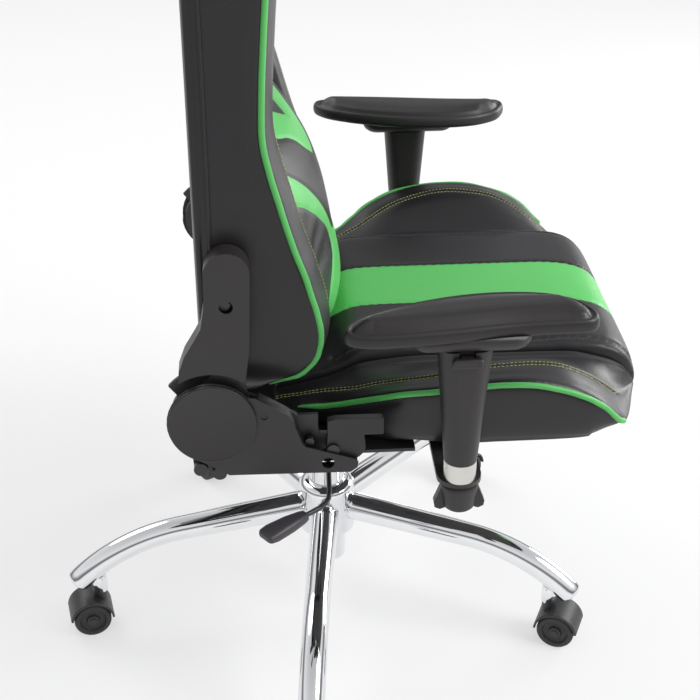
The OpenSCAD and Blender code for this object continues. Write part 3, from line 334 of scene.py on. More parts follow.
def leg_shape():
    """A leg along +X: circles carried along a line that falls 2.3 degrees and then bends to
    42 degrees on a radius of 225 mm. The radius tapers from 19 to 16.5 mm and ends in a cap."""
    fall, slope, bend = np.radians(2.3), np.radians(42), 0.225
    start, taper_start, bend_start, height = 0.03, 0.032, 0.203, 0.148
    thick, thin, cap_length = 0.019, 0.0165, 0.008
    centre = np.array([
        bend_start - bend * np.sin(fall), height - bend_start * np.tan(fall) - bend * np.cos(fall)])
    tip = centre + bend * np.array([np.sin(slope), np.cos(slope)])
    line = np.linspace(start, bend_start, 14, endpoint=False)
    turn = np.linspace(fall, slope, 26)
    cap = np.linspace(0, np.pi / 2 - 0.02, 10)[1:]
    past = cap_length * np.sin(cap)
    x = np.concatenate([line, centre[0] + bend * np.sin(turn), tip[0] + past * np.cos(slope)])
    z = np.concatenate([
        height - line * np.tan(fall), centre[1] + bend * np.cos(turn),
        tip[1] - past * np.sin(slope)])
    tilt = np.concatenate([np.full_like(line, fall), turn, np.full_like(cap, slope)])
    taper = thick - (thick - thin) * (line - taper_start) / (bend_start - taper_start)
    radius = np.concatenate(
        [np.minimum(taper, thick), np.full_like(turn, thin), thin * np.cos(cap)])
    x, z, tilt, radius = np.stack([x, z, tilt, radius])[..., None]
    side = np.linspace(0, 2 * np.pi, 56, endpoint=False)
    up = radius * np.sin(side)
    return skin_mesh(grid_of(x + up * np.sin(tilt), radius * np.cos(side), z + up * np.cos(tilt)))


def make_star():
    """Hub turned from a profile, five legs and the short collar of each caster's socket."""
    low, high, wide, bore = 0.108, 0.185, 0.038, 0.0252
    chamfer, foot, crown = 0.002, 0.004, 0.012
    edge = np.linspace(0, np.pi / 2, 10)
    hub = [
        [bore, low + chamfer], [bore + chamfer, low],
        *np.stack([wide - foot + foot * np.sin(edge), low + foot - foot * np.cos(edge)], 1),
        *np.stack([wide - crown + crown * np.cos(edge), high - crown + crown * np.sin(edge)], 1),
        [bore, high]]
    collar = [[0.0056, 0.061], [0.0100, 0.061], [0.0105, 0.0615], [0.0105, 0.1], [0.0056, 0.1]]
    parts = [turned(hub, 72)]
    for number in range(LEGS):
        angle = FIRST_LEG + number * 2 * np.pi / LEGS
        for points, faces in (leg_shape(), turned(collar, 32, (CASTER_REACH, 0, 0))):
            parts.append((round_about(angle, points), faces))
    star = new_piece("star_base", *joined(parts), chrome_plate)
    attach(star, "base")
    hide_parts("base_star")


chrome_plate = chrome_finish()
make_star()

# ---- Casters ----
# Each caster is a moulded hood with a web and an axle, plugged into its leg by a steel stem.
# Two wheels with a rubbery tread turn on the axle, one on each side of the web.


def plastic_finish(name, colour, grain=900, rough=0.5, lift=0.00012):
    """Moulded plastic with the fine spark-eroded grain of the mould and slightly uneven gloss."""
    plastic = Finish(name)
    place = plastic.place()
    pits = plastic.grains(place, grain)
    cloud = plastic.noise(place, 9, 3)
    return plastic.surface(
        Base_Color=plastic.shaded(cloud, colour, 0.82), Roughness=cloud * 0.12 + (rough - 0.06),
        Normal=plastic.bump(pits, lift, 0.5))


def dress(node, material):
    """Gives a CAD node that keeps its shape a finish of its own."""
    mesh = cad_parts[node].data
    mesh.materials.clear()
    mesh.materials.append(material)


hood_plastic = plastic_finish("hood_plastic", (0.035, 0.034, 0.035), rough=0.42)
tread_rubber = plastic_finish("tread_rubber", (0.03, 0.03, 0.03), 400, 0.55)
for number in range(1, LEGS + 1):
    dress(f"caster_hood_{number}", hood_plastic)
    dress(f"caster_wheels_{number}", tread_rubber)

# ---- Gas lift ----
# A chromed column in the hub holds the lift's rod on a thrust washer. The polished cylinder
# slides in it and carries the chair on its taper.


def metal_finish(name, colour, metal, rough):
    """Steel, bare or painted: slight haze and fine unevenness."""
    steel = Finish(name)
    place = steel.place()
    haze = steel.noise(place, 60, 4)
    return steel.surface(
        Base_Color=steel.shaded(haze, colour, 0.85), Metallic=metal,
        Roughness=haze * 0.15 + (rough - 0.075),
        Normal=steel.bump(steel.noise(place, 700, 2), 0.0001, 0.3))


zinc_plate = metal_finish("zinc_plate", (0.55, 0.55, 0.57), 1.0, 0.32)
dress("gas_column", chrome_plate)
dress("gas_rod", zinc_plate)
dress("gas_cylinder", metal_finish("cylinder_steel", (0.5, 0.5, 0.52), 1.0, 0.18))

# ---- Tilt mechanism and lift lever ----
# A pressed steel pan on the lift's taper holds the tilt pin. The lever is a bent rod through
# a slot in the pan, with a flat moulded handle pushed on its end.


def rounded_copy(node, material, body, width, segments=3):
    """Copy of a CAD node with its doubles merged and its sharp edges rounded by a bevel."""
    piece = bpy.data.objects.new("finished_" + node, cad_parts[node].data.copy())
    bpy.context.collection.objects.link(piece)
    mesh = piece.data
    merged = bmesh.new()
    merged.from_mesh(mesh)
    bmesh.ops.remove_doubles(merged, verts=merged.verts, dist=2e-6)
    bmesh.ops.dissolve_limit(
        merged, angle_limit=np.radians(1), verts=merged.verts, edges=merged.edges)
    bmesh.ops.recalc_face_normals(merged, faces=merged.faces)
    merged.to_mesh(mesh)
    merged.free()
    if "custom_normal" in mesh.attributes:
        mesh.attributes.remove(mesh.attributes["custom_normal"])
    mesh.polygons.foreach_set("use_smooth", [True] * len(mesh.polygons))
    mesh.materials.clear()
    mesh.materials.append(material)
    bevel = piece.modifiers.new("edge", "BEVEL")
    bevel.width, bevel.segments, bevel.limit_method = width, segments, "ANGLE"
    bevel.angle_limit, bevel.harden_normals = np.radians(32), True
    bevel.use_clamp_overlap = True
    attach(piece, body)
    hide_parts(node)


black_paint = metal_finish("black_paint", (0.03, 0.03, 0.032), 0.0, 0.42)
covers_plastic = plastic_finish("covers_plastic", (0.026, 0.0228, 0.0232), rough=0.45)
grip_plastic = plastic_finish("grip_plastic", (0.052, 0.047, 0.055), rough=0.45)
for node in ("mechanism_housing", "seat_plate", "gas_lever_rod"):
    dress(node, black_paint)
dress("tilt_pin", zinc_plate)
dress("tension_knob", covers_plastic)
rounded_copy("gas_lever_grip", grip_plastic, "gas_lever", width=0.0015)

# ---- Seat shell ----
# A stained plywood board carries two angle steels, the tilt plate and the brackets of the
# armrests, all held by hexagon bolts.


def plywood_finish():
    """Black-stained plywood: long grain lines along the seat and a few darker bands."""
    wood = Finish("plywood")
    stretched = wood.add("ShaderNodeMapping", {}, {"Vector": wood.place(), "Scale": (3, 60, 60)})
    grain = wood.noise(stretched, 3, 5, 0.6)
    return wood.surface(
        Base_Color=wood.mix(grain, (0.035, 0.03, 0.027), (0.06, 0.052, 0.046)), Roughness=0.7,
        Normal=wood.bump(grain, 0.0003, 0.4))


black_zinc = metal_finish("black_zinc", (0.07, 0.07, 0.075), 0.9, 0.38)
dress("seat_board", plywood_finish())
dress("seat_bolts", black_zinc)
for node in ("seat_rails", "recliner_plate_right", "recliner_plate_left"):
    dress(node, black_paint)

# ---- Seat cushion ----
# Moulded foam under artificial leather: black panels with a green stripe sewn in along the
# middle, over the seat and down its nose.

BLACK, GREEN = (0.016, 0.0148, 0.0168), (0.1, 0.5, 0.115)
STRIPE, SEAM_BLUR = 0.052, 0.0003
CUSHION_SECTION = [
    [-68, 411], [0, 410.5], [150, 410.5], [300, 410.5], [322, 405], [344, 402], [358, 404.5],
    [366, 411], [369, 421], [368, 432], [363.5, 443], [356, 453], [345, 461.5], [331, 467.5],
    [313, 471.5], [285, 474], [240, 474.5], [150, 474.5], [80, 474.5], [45, 473.5], [28, 470.5],
    [17, 465.5], [5, 459], [-20, 451], [-58, 444], [-71, 436], [-73, 421]]


def leather_finish(name, rough, colour_at):
    """Artificial leather: a fine pebble grain, shallow creases and a gloss that varies. Its
    colour is what colour_at makes of the finish, the place and the noise in the gloss."""
    hide = Finish(name)
    place = hide.place()
    pebble = hide.bump(hide.grains(place, 1500), 0.0002, 0.35)
    crease = hide.noise(place, 38, 4, 0.6)
    cloud = hide.noise(place, 7, 2)
    return hide.surface(
        Base_Color=colour_at(hide, place, cloud), Specular_IOR_Level=0.42,
        Roughness=cloud * 0.1 + crease * 0.08 + rough,
        Normal=hide.bump(crease, 0.0012, 0.25, pebble))


def plain(colour):
    """One colour for a leather, a little darker in patches."""
    return lambda hide, place, cloud: hide.shaded(cloud, colour, 0.85)


def striped(hide, place, cloud):
    """Green within the stripe's half width, and black outside it."""
    inside = (STRIPE - hide.axis(place, "Y").abs()).step(-SEAM_BLUR, SEAM_BLUR)
    return hide.mix(inside, BLACK, GREEN)


def table_curve(table, at):
    """Smooth height of a table of (place, value) rows, in mm, at given places in metres."""
    rows = smooth_path(np.array(table, float) / 1000, 30 * len(table))
    return np.interp(at, rows[:, 0], rows[:, 1])


def run_along(path):
    """Distance from a path's start to each of its points."""
    return np.concatenate([[0], np.cumsum(np.linalg.norm(np.diff(path, axis=0), axis=1))])


def read_at(stops, run, rows):
    """Rows that are known at the distances of run, at the distances of stops."""
    return np.stack([np.interp(stops, run, column) for column in rows.T], 1)


def even_path(points, count, closed=False):
    """The curve of smooth_path, with count points that are evenly spaced along its length."""
    dense = smooth_path(points, 40 * len(points), closed)
    if closed:
        dense = np.concatenate([dense, dense[:1]])
    run = run_along(dense)
    return read_at(np.linspace(0, run[-1], count, endpoint=not closed), run, dense)


def vertices_of(piece):
    """Places of a piece's vertices, as rows."""
    flat = np.zeros(len(piece.data.vertices) * 3)
    piece.data.vertices.foreach_get("co", flat)
    return flat.reshape(-1, 3)


def move_vertices(piece, places):
    """Puts a piece's vertices at new places."""
    piece.data.vertices.foreach_set("co", np.asarray(places, float).ravel())
    piece.data.update()


def bake_modifiers(piece):
    """Replaces a piece's mesh by what its modifiers make of it."""
    graph = bpy.context.evaluated_depsgraph_get()
    mesh = bpy.data.meshes.new_from_object(piece.evaluated_get(graph))
    piece.modifiers.clear()
    piece.data = mesh
    mesh.polygons.foreach_set("use_smooth", [True] * len(mesh.polygons))


def puffed(piece, voxel, cap, pressure):
    """Blows a closed cushion up as cloth: it is remeshed to even faces and swells for twenty
    frames under pressure without gravity, and no point moves further than cap."""
    remesh = piece.modifiers.new("even", "REMESH")
    remesh.mode, remesh.voxel_size, remesh.use_smooth_shade = "VOXEL", voxel, True
    bake_modifiers(piece)
    start = vertices_of(piece)
    cloth = piece.modifiers.new("cloth", "CLOTH")
    cloth.settings.use_pressure, cloth.settings.uniform_pressure_force = True, pressure
    cloth.settings.effector_weights.gravity = 0
    cloth.settings.quality = 5
    scene = bpy.context.scene
    for frame_number in range(1, 21):
        scene.frame_set(frame_number)
    bake_modifiers(piece)
    scene.frame_set(1)
    shift = vertices_of(piece) - start
    length = np.linalg.norm(shift, axis=1, keepdims=True)
    shift *= np.minimum(1, cap / np.maximum(length, 1e-9))
    move_vertices(piece, start + shift)


def subdivided(piece):
    """One level of smooth subdivision, baked into a piece's mesh."""
    smoother = piece.modifiers.new("smooth", "SUBSURF")
    smoother.levels = smoother.render_levels = 1
    bake_modifiers(piece)


def sewn(piece, path, width, depth, pucker=0.0, every=0.012):
    """Pulls a piece in along a seam: each vertex moves against its normal by depth times a bell
    of its distance from the path. pucker varies the depth along the seam, once per stretch."""
    most_pairs = 4000000
    places = vertices_of(piece)
    normals = np.zeros(len(places) * 3, np.float32)
    piece.data.vertex_normals.foreach_get("vector", normals)
    normals = normals.reshape(-1, 3)
    low, high = path.min(0) - 3 * width, path.max(0) + 3 * width
    near = np.nonzero(((places > low) & (places < high)).all(1))[0]
    run = run_along(path)
    for part in np.array_split(near, max(1, len(near) * len(path) // most_pairs + 1)):
        gap = np.linalg.norm(places[part][:, None] - path[None], axis=2)
        bell = np.exp(-(gap.min(1) / width) ** 2)
        wave = 1 + pucker * np.sin(2 * np.pi * run[gap.argmin(1)] / every)
        places[part] -= normals[part] * (depth * bell * wave)[:, None]
    move_vertices(piece, places)


def laid_on(piece, path, lift=0.0):
    """Points of a path moved to the nearest place on a piece, raised by lift, and the surface's
    normals there."""
    tree = BVHTree.FromObject(piece, bpy.context.evaluated_depsgraph_get())
    found = [tree.find_nearest(Vector(point)) for point in path]
    normals = np.array([hit[1] for hit in found])
    return np.array([hit[0] for hit in found]) + normals * lift, normals


def stitch_mesh(path, normals):
    """A row of stitches: at each pitch along a path one small ball, drawn out along the path and
    sunk half into the surface."""
    pitch, length, wide, near = 0.0048, 0.0036, 0.0011, 0.0005
    rings, sides = 5, 6
    run = run_along(path)
    stops = np.arange(pitch / 2, run[-1], pitch)
    place, out = read_at(stops, run, path), read_at(stops, run, normals)
    along = read_at(stops + near, run, path) - read_at(stops - near, run, path)
    along /= np.linalg.norm(along, axis=1, keepdims=True)
    side = np.cross(along, out)
    side /= np.maximum(np.linalg.norm(side, axis=1, keepdims=True), 1e-9)
    polar = np.linspace(0.1, np.pi - 0.1, rings)[:, None]
    angle = np.linspace(0, 2 * np.pi, sides, endpoint=False)
    ball, faces = skin_mesh(grid_of(
        np.cos(polar), np.sin(polar) * np.cos(angle), np.sin(polar) * np.sin(angle)))
    long, broad, deep = (ball * [length / 2, wide / 2, wide / 2]).T[..., None]
    return joined([
        (at + long * a + broad * b + deep * c, faces)
        for at, a, b, c in zip(place, along, side, out)])


def thread_finish(name, dark, pale, rough, relief):
    """Sewing thread of twisted polyester."""
    thread = Finish(name)
    twist = thread.noise(thread.place(), 1500, 1)
    return thread.surface(
        Base_Color=thread.mix(twist, dark, pale), Roughness=rough,
        Normal=thread.bump(twist, 0.0001, relief))


def seams(name, body, rows, material):
    """One piece with every row of stitches: each row is a path and its normals."""
    piece = new_piece(name, *joined([stitch_mesh(*row) for row in rows]), material)
    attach(piece, body)


def make_seat_cushion():
    """A closed section in X and Z carried across the seat. Towards its sides the section shrinks
    by up to 6 mm, with a high power of the distance from the middle, but not below."""
    half = 0.1635
    section = smooth_path(np.array(CUSHION_SECTION) / 1000, 240, closed=True)
    across = half * np.sin(np.linspace(-np.pi / 2, np.pi / 2, 90))[:, None]
    ahead = np.roll(section, -1, 0) - np.roll(section, 1, 0)
    inward = np.stack([-ahead[:, 1], ahead[:, 0]], 1)
    inward /= np.linalg.norm(inward, axis=1, keepdims=True)
    free = np.clip((section[:, 1] - 0.415) / 0.02, 0, 1)
    step = 0.006 * (np.abs(across) / half) ** 12 * free
    grid = grid_of(
        section[:, 0] + step * inward[:, 0], across, section[:, 1] + step * inward[:, 1])
    striped_leather = leather_finish("striped_leather", 0.31, striped)
    cushion = new_piece("seat_cushion_cover", *skin_mesh(grid), striped_leather)
    puffed(cushion, 0.005, 0.0025, 4.0)
    subdivided(cushion)
    top = section[(section[:, 1] > 0.4405) & (section[:, 0] > 0)]
    x, z = even_path(top[np.argsort(-top[:, 0])][::2], 220).T
    stitches = []
    for side in (-1, 1):
        for y in (STRIPE, 0.148):
            seam, _ = laid_on(cushion, grid_of(x, side * y, z))
            sewn(cushion, seam, 0.0032, 0.0022, 0.15)
        for y in (STRIPE + 0.004, 0.152):
            stitches.append(laid_on(cushion, grid_of(x, side * y, z), 0.0001))
    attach(cushion, "seat")
    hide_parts("seat_cushion")
    seams("seat_cushion_stitches", "seat", stitches, black_thread)


black_leather = leather_finish("black_leather", 0.27, plain(BLACK))
green_leather = leather_finish("green_leather", 0.27, plain(GREEN))
green_thread = thread_finish("green_thread", (0.3, 0.34, 0.1), (0.5, 0.52, 0.2), 0.6, 0.3)
black_thread = thread_finish("black_thread", (0.03, 0.03, 0.03), (0.08, 0.08, 0.08), 0.55, 0.0)
make_seat_cushion()

# ---- Seat wings ----
# Two padded rolls of foam beside the middle, covered in black leather. Green piping runs along
# the outer edge, and a double row of green thread along the crest.

SIDES = (("right", -1), ("left", 1))
WING_EDGE_Y = [
    [-60, 203], [-42, 207], [-10, 213], [35, 235], [75, 262], [110, 277], [150, 283], [184, 283],
    [230, 283], [275, 282.5], [300, 281], [322, 275], [335, 251], [345, 223], [355, 190],
    [362, 169]]
WING_EDGE_Z = [
    [-60, 417], [-42, 426], [-10, 429], [35, 448], [75, 470], [110, 481], [150, 488], [184, 490],
    [220, 488], [252, 480], [275, 471], [300, 456], [322, 433], [335, 425], [345, 420],
    [355, 417], [362, 416.5]]
WING_CREST_Z = [
    [-74, 428], [-10, 440], [19, 446], [35, 451], [60, 460], [76, 467], [112, 481], [150, 490.5],
    [182, 495.5], [223, 494], [256, 487], [289, 469], [313, 449], [328, 434], [345, 424],
    [362, 418.5]]
WING_CREST_SHARE = [
    [-74, 400], [19, 400], [35, 410], [60, 430], [112, 330], [180, 300], [222, 340], [256, 380],
    [289, 440], [313, 500], [328, 520], [362, 500]]
WING_SEAM_Z = [
    [-74, 424], [-10, 438], [19, 449], [35, 455], [75, 460], [110, 462], [200, 462], [275, 461],
    [300, 458], [329, 450], [345, 441], [356, 430], [362, 420]]
WING_LOW_Z = [
    [-74, 409], [-10, 402], [33, 390], [60, 396], [100, 408.6], [160, 408.6], [275, 409],
    [290, 413], [303, 417], [322, 421], [335, 419], [345, 416.5], [355, 414], [362, 413.5]]
WING_LOW_SHARE = [[-74, 70], [275, 70], [320, 220], [345, 300], [362, 300]]


def wing_rings(x):
    """Section of a left wing at each x: the floor, the side, the edge, the crest and the seam,
    as eleven points whose places are shares of the wing's width and height there."""
    inner, lowest = 0.1655, 0.4086
    y, z, low = (table_curve(table, x) for table in (WING_EDGE_Y, WING_EDGE_Z, WING_LOW_Z))
    crest, seam = table_curve(WING_CREST_Z, x), table_curve(WING_SEAM_Z, x)
    crest_share, low_share = table_curve(WING_CREST_SHARE, x), table_curve(WING_LOW_SHARE, x)
    span, rise, drop = y - inner, z - low, seam - crest
    floor = np.maximum(low, lowest)
    crest_y = y - crest_share * span
    slope = crest_y - inner
    points = [
        (np.full_like(x, inner), floor), (y - (0.14 + low_share) * span, floor),
        (y - low_share * span, low + 0.1 * rise), (y - 0.1 * low_share * span, low + 0.55 * rise),
        (y, z), (y - 0.5 * crest_share * span, (z + crest) / 2 + 0.02 * span), (crest_y, crest),
        (inner + 0.76 * slope, crest + 0.16 * drop), (inner + 0.46 * slope, crest + 0.55 * drop),
        (inner + 0.17 * slope, crest + 0.92 * drop), (np.full_like(x, inner), seam)]
    return np.array(points).transpose(2, 0, 1)


def cord_mesh(path, radius, taper):
    """Round welt along a path: circles whose plane follows the path, turned as little as can be
    from the axis that the path crosses most. The ends close in a half ball, and the first one
    thins to a third over its first taper points."""
    radius = radius * np.interp(
        np.arange(len(path)), [0, max(taper, 1)], [0.33 if taper else 1, 1])
    along = np.gradient(path, axis=0)
    along /= np.linalg.norm(along, axis=1, keepdims=True)
    across = np.cross(along, np.eye(3)[np.abs(along).sum(0).argmin()])
    across /= np.linalg.norm(across, axis=1, keepdims=True)
    over = np.cross(across, along)
    angle = np.linspace(0, 2 * np.pi, 12, endpoint=False)[:, None]
    circle = across[:, None] * np.cos(angle) + over[:, None] * np.sin(angle)
    cap = np.linspace(0.05, np.pi / 2, 5)[:, None, None]

    def ball_end(end, outward):
        """Circles moved out by radius times the cosine of an angle and narrowed by its sine."""
        return (path[end] + outward * along[end] * radius[end] * np.cos(cap)
                + circle[end] * radius[end] * np.sin(cap))

    return skin_mesh(np.concatenate([
        ball_end(0, -1)[:-1], path[:, None] + radius[:, None, None] * circle,
        ball_end(-1, 1)[::-1][1:]]))


def welt(name, body, path, material, radius, on, taper=0):
    """Piping: a cord in a leather strip, sewn into a piece where two of its panels meet."""
    path, _ = laid_on(on, path, radius * 0.35)
    path = smooth_path(path[::3], 2 * len(path))
    piece = new_piece(name, *cord_mesh(path, radius, taper), material)
    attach(piece, body)


def make_seat_wing(side, sign):
    """Rings along the wing, with 15 columns from one point of its section to the next."""
    x = np.concatenate([np.linspace(-0.074, 0.3, 115, endpoint=False), np.linspace(0.3, 0.362, 30)])
    rings = smooth_path(wing_rings(x), 11 * 15, closed=True)
    grid = grid_of(x[:, None], sign * rings[..., 0], rings[..., 1])
    edge, crest = 4 * 15, 6 * 15
    wing = new_piece(f"seat_wing_cover_{side}", *skin_mesh(grid), black_leather)
    sewn(wing, grid[2:-15, crest], 0.003, 0.002, 0.3)
    sewn(wing, grid[4:-16, edge], 0.006, 0.0018, 0.35, 0.009)
    rows = [laid_on(wing, grid[2:-15, crest + beside], 0.0002) for beside in (-3, 3)]
    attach(wing, "seat")
    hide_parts(f"seat_wing_{side}")
    seams(f"seat_wing_stitches_{side}", "seat", rows, green_thread)
    welt(f"seat_piping_{side}", "seat", grid[10:-16, edge], green_leather, 0.0033, on=wing,
         taper=14)


def make_rear_flap():
    """Black cloth that closes the seat behind its cushion: a thin slab across the chair that
    sags by 6 mm between its long edges."""
    middle, half_deep, half_wide = -0.094, 0.027, 0.226
    high, sag, thick = 0.4435, 0.006, 0.003
    share = np.linspace(-1, 1, 24)
    x, z = middle + half_deep * share, high - sag * (1 - share**2)
    around_x = np.concatenate([x, x[::-1]])
    around_z = np.concatenate([z + thick / 2, z[::-1] - thick / 2])
    y = np.linspace(-half_wide, half_wide, 40)[:, None]
    flap = new_piece(
        "seat_rear_flap", *skin_mesh(grid_of(around_x, y, around_z)), black_leather)
    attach(flap, "seat")


for side, sign in SIDES:
    make_seat_wing(side, sign)
make_rear_flap()

# ---- Recliners ----
# Steel plates and a toothed disc at each side hinge the back to the seat. Moulded covers hide
# them: a lower one on the seat, a round cap over the hinge and an upper one on the back.

for side, _ in SIDES:
    dress(f"back_arm_{side}", black_paint)
    rounded_copy(f"lower_cover_{side}", covers_plastic, "seat", width=0.0014)
    rounded_copy(f"disc_cap_{side}", covers_plastic, "seat", width=0.0008)
    rounded_copy(f"upper_cover_{side}", covers_plastic, "back", width=0.0022, segments=4)
for node in ("recliner_hubs", "back_bolts", "sync_shaft"):
    dress(node, black_zinc)
rounded_copy("recline_lever", covers_plastic, "recline_lever", width=0.0018)

# ---- Back bolsters ----
# A frame of steel tube with foam over it, in black leather. Two bolsters stand out at the sides,
# with green piping along the front edge and a thinner black one along the rear.

BACK_FRONT = [
    [466, -84], [482, -68], [491, -44], [502, -31], [515, -22], [531, -17], [549, -16], [573, -20],
    [594, -26], [616, -32], [642, -41], [673, -50], [703, -58], [733, -66], [771, -73], [820, -72],
    [880, -68], [940, -64], [1000, -66], [1060, -74]]
BACK_OUT = [
    [466, 231], [482, 245], [502, 253], [531, 257], [600, 257], [700, 257], [780, 254], [860, 251],
    [960, 249], [1010, 247], [1060, 233]]


def make_back_wing(side, sign):
    """Level sections of a bolster, whose points lie off its front edge and its outer side: rear,
    inner side, crown, the piped edge and the flank. 12 columns lead from one to the next."""
    z = np.concatenate(
        [np.linspace(0.4663, 0.56, 40, endpoint=False), np.linspace(0.56, 1.0597, 120)])
    front, out = table_curve(BACK_FRONT, z), table_curve(BACK_OUT, z)
    rear, foam, inner = -0.149, -0.108, 0.1665
    points = [
        (rear, 0.2005), (foam, 0.2), (foam, inner), (front - 0.02, inner),
        (front + 0.004, inner + 0.008), (front + 0.012, inner + 0.024),
        (front + 0.0125, inner + 0.042), (front + 0.008, out - 0.022), (front, out - 0.003),
        (front - 0.014, out), (rear + 0.05, out), (rear + 0.01, out - 0.001),
        (rear + 0.001, out - 0.008), (rear, out - 0.03)]
    sections = np.array([np.broadcast_arrays(x, y, z)[:2] for x, y in points])
    rings = smooth_path(sections.transpose(2, 0, 1), 12 * len(points), closed=True)
    grid = grid_of(np.maximum(rings[..., 0], rear), sign * rings[..., 1], z[:, None])
    crest, edge, rear_seam = 66, 8 * 12, 11 * 12
    wing = new_piece(f"back_wing_cover_{side}", *skin_mesh(grid), black_leather)
    sewn(wing, grid[3:-3, crest], 0.003, 0.002, 0.25)
    sewn(wing, grid[:, edge], 0.005, 0.0012, 0.2)
    sewn(wing, grid[:, rear_seam], 0.0022, 0.0016, 0.1)
    row = laid_on(wing, grid[3:-3, crest - 2], 0.0002)
    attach(wing, "back")
    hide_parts(f"back_wing_{side}")
    seams(f"back_wing_stitches_{side}", "back", [row], green_thread)
    welt(f"back_piping_{side}", "back", grid[5:, edge], green_leather, 0.0036, on=wing, taper=12)
    welt(f"back_rear_piping_{side}", "back", grid[6:-4, rear_seam - 3], black_leather, 0.0022,
         on=wing)


dress("back_frame", black_paint)
for side, sign in SIDES:
    make_back_wing(side, sign)

# ---- Back cushion ----
# The middle of the back swells out over the lumbar and carries two green bands. They come down
# from the sides, and the lower one spreads again below the narrowest place.

BACK_HALF = 0.1655
LUMBAR_FRONT = [
    [465, 4], [480, 15], [500, 20], [520, 20], [545, 16], [565, 11], [594, 6], [627, -1],
    [658, -11], [680, -22], [702, -38], [720, -58], [740, -76], [770, -83], [900, -84], [1060, -82]]
LUMBAR_EDGE = [
    [465, -30], [500, -24], [545, -24], [600, -30], [658, -48], [702, -66], [740, -84],
    [770, -90], [1060, -90]]
BAND_HIGH = [
    [0, 705], [37, 726], [66, 742], [100, 752], [170, 760], [170, 727], [120, 721], [81, 707],
    [66, 702], [48, 691], [30, 674], [0, 655]]
BAND_LOW = [
    [0, 556], [12, 562], [26, 573], [40, 589], [61, 613], [79, 633], [97, 652], [113, 667],
    [125, 677], [134, 683], [170, 698], [170, 672], [152, 658], [140, 648], [126, 640],
    [107, 626], [85, 607], [66, 588], [57, 571], [59, 556], [72, 545], [81, 537], [91, 529],
    [101, 519], [105, 510], [103, 498], [92, 486], [80, 478], [60, 470], [0, 466]]


def signed_gap(table, y, z):
    """Distance from points to an outline drawn right of the middle, in metres: positive inside,
    negative outside, with the middle line itself left out."""
    outline = smooth_path(np.array(table, float) / 1000, 12 * len(table))
    spot = np.stack([np.abs(y), z], -1)
    best = np.full(len(spot), 9.0)
    inside = np.zeros(len(spot), bool)
    for a, d in zip(outline, np.roll(outline, -1, 0) - outline):
        share = np.clip(((spot - a) @ d) / max(d @ d, 1e-12), 0, 1)
        if a[0] > 0.001 or abs(d[0]) > 1e-6:
            best = np.minimum(best, np.linalg.norm(spot - a - share[:, None] * d, axis=1))
        crosses = (a[1] > spot[:, 1]) != (a[1] + d[1] > spot[:, 1])
        reach = a[0] + d[0] * (spot[:, 1] - a[1]) / (d[1] if abs(d[1]) > 1e-12 else 1e-12)
        inside ^= crosses & (spot[:, 0] < reach)
    return np.where(inside, best, -best)


def banded(hide, place, cloud):
    """Green where the stored gap to a band's edge is positive."""
    gap = hide.add("ShaderNodeAttribute", {"attribute_name": "band"}, out="Fac")
    return hide.mix(gap.step(-SEAM_BLUR, SEAM_BLUR), BLACK, GREEN)


def lumbar_front(y, z):
    """x = crown - (crown - edge) (y / half)^2, where crown and edge follow the height z."""
    crown, edge = table_curve(LUMBAR_FRONT, z), table_curve(LUMBAR_EDGE, z)
    return crown - (crown - edge) * (y / BACK_HALF) ** 2


def make_back_center():
    """The front, with shallow folds beside the bands, closed by flat sides and a flat rear."""
    rear, rows, columns, quarter = -0.108, 300, 150, 0.48 * np.pi
    y = BACK_HALF * np.sin(np.linspace(-quarter, quarter, columns)) / np.sin(quarter)
    z = np.linspace(0.4653, 1.0597, rows)[:, None]
    beside = np.exp(-((np.abs(y) - 0.115) / 0.028) ** 2) * np.exp(-((z - 0.57) / 0.055) ** 2)
    fold = np.sin((z + 0.35 * np.abs(y)) * 2 * np.pi / 0.034)
    grid = np.empty((rows, columns + 2, 3))
    grid[:, :columns, 0] = lumbar_front(y, z) + 0.0011 * beside * fold - 0.004 * beside
    grid[:, :columns, 1], grid[:, columns:, 1] = y, (BACK_HALF, -BACK_HALF)
    grid[:, columns:, 0], grid[..., 2] = rear, z
    banded_leather = leather_finish("banded_leather", 0.31, banded)
    middle = new_piece("back_center_cover", *skin_mesh(grid), banded_leather)
    for table in (BAND_HIGH, BAND_LOW):
        line = smooth_path(np.array(table, float) / 1000, 260)
        y, z = line[(line[:, 0] > 0.0005) & (line[:, 0] < 0.163)].T
        for sign in (-1, 1):
            sewn(middle, grid_of(lumbar_front(y, z), sign * y, z), 0.0028, 0.0011)
    for sign in (-1, 1):
        path = grid_of(-0.084, sign * 0.095, np.linspace(0.775, 1.055, 120))
        sewn(middle, laid_on(middle, path)[0], 0.003, 0.002)
    x, y, z = vertices_of(middle).T
    band = np.maximum(signed_gap(BAND_HIGH, y, z), signed_gap(BAND_LOW, y, z))
    band[x < rear + 0.008] = -1
    store = middle.data.attributes.new("band", "FLOAT", "POINT")
    store.data.foreach_set("value", band)
    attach(middle, "back")
    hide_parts("back_center")


make_back_center()

# ---- Headrest and rear panel ----
# The headrest is one block of foam above the bolsters, sewn round its sides. A padded panel
# closes the back from behind.

HEAD_FRONT = [
    [1060.5, -74], [1110, -66], [1160, -65], [1200, -71], [1226, -85], [1240, -103]]
HEAD_HALF = [
    [1060.5, 223], [1080, 205], [1110, 180], [1150, 157], [1200, 143], [1226, 126], [1240, 98]]


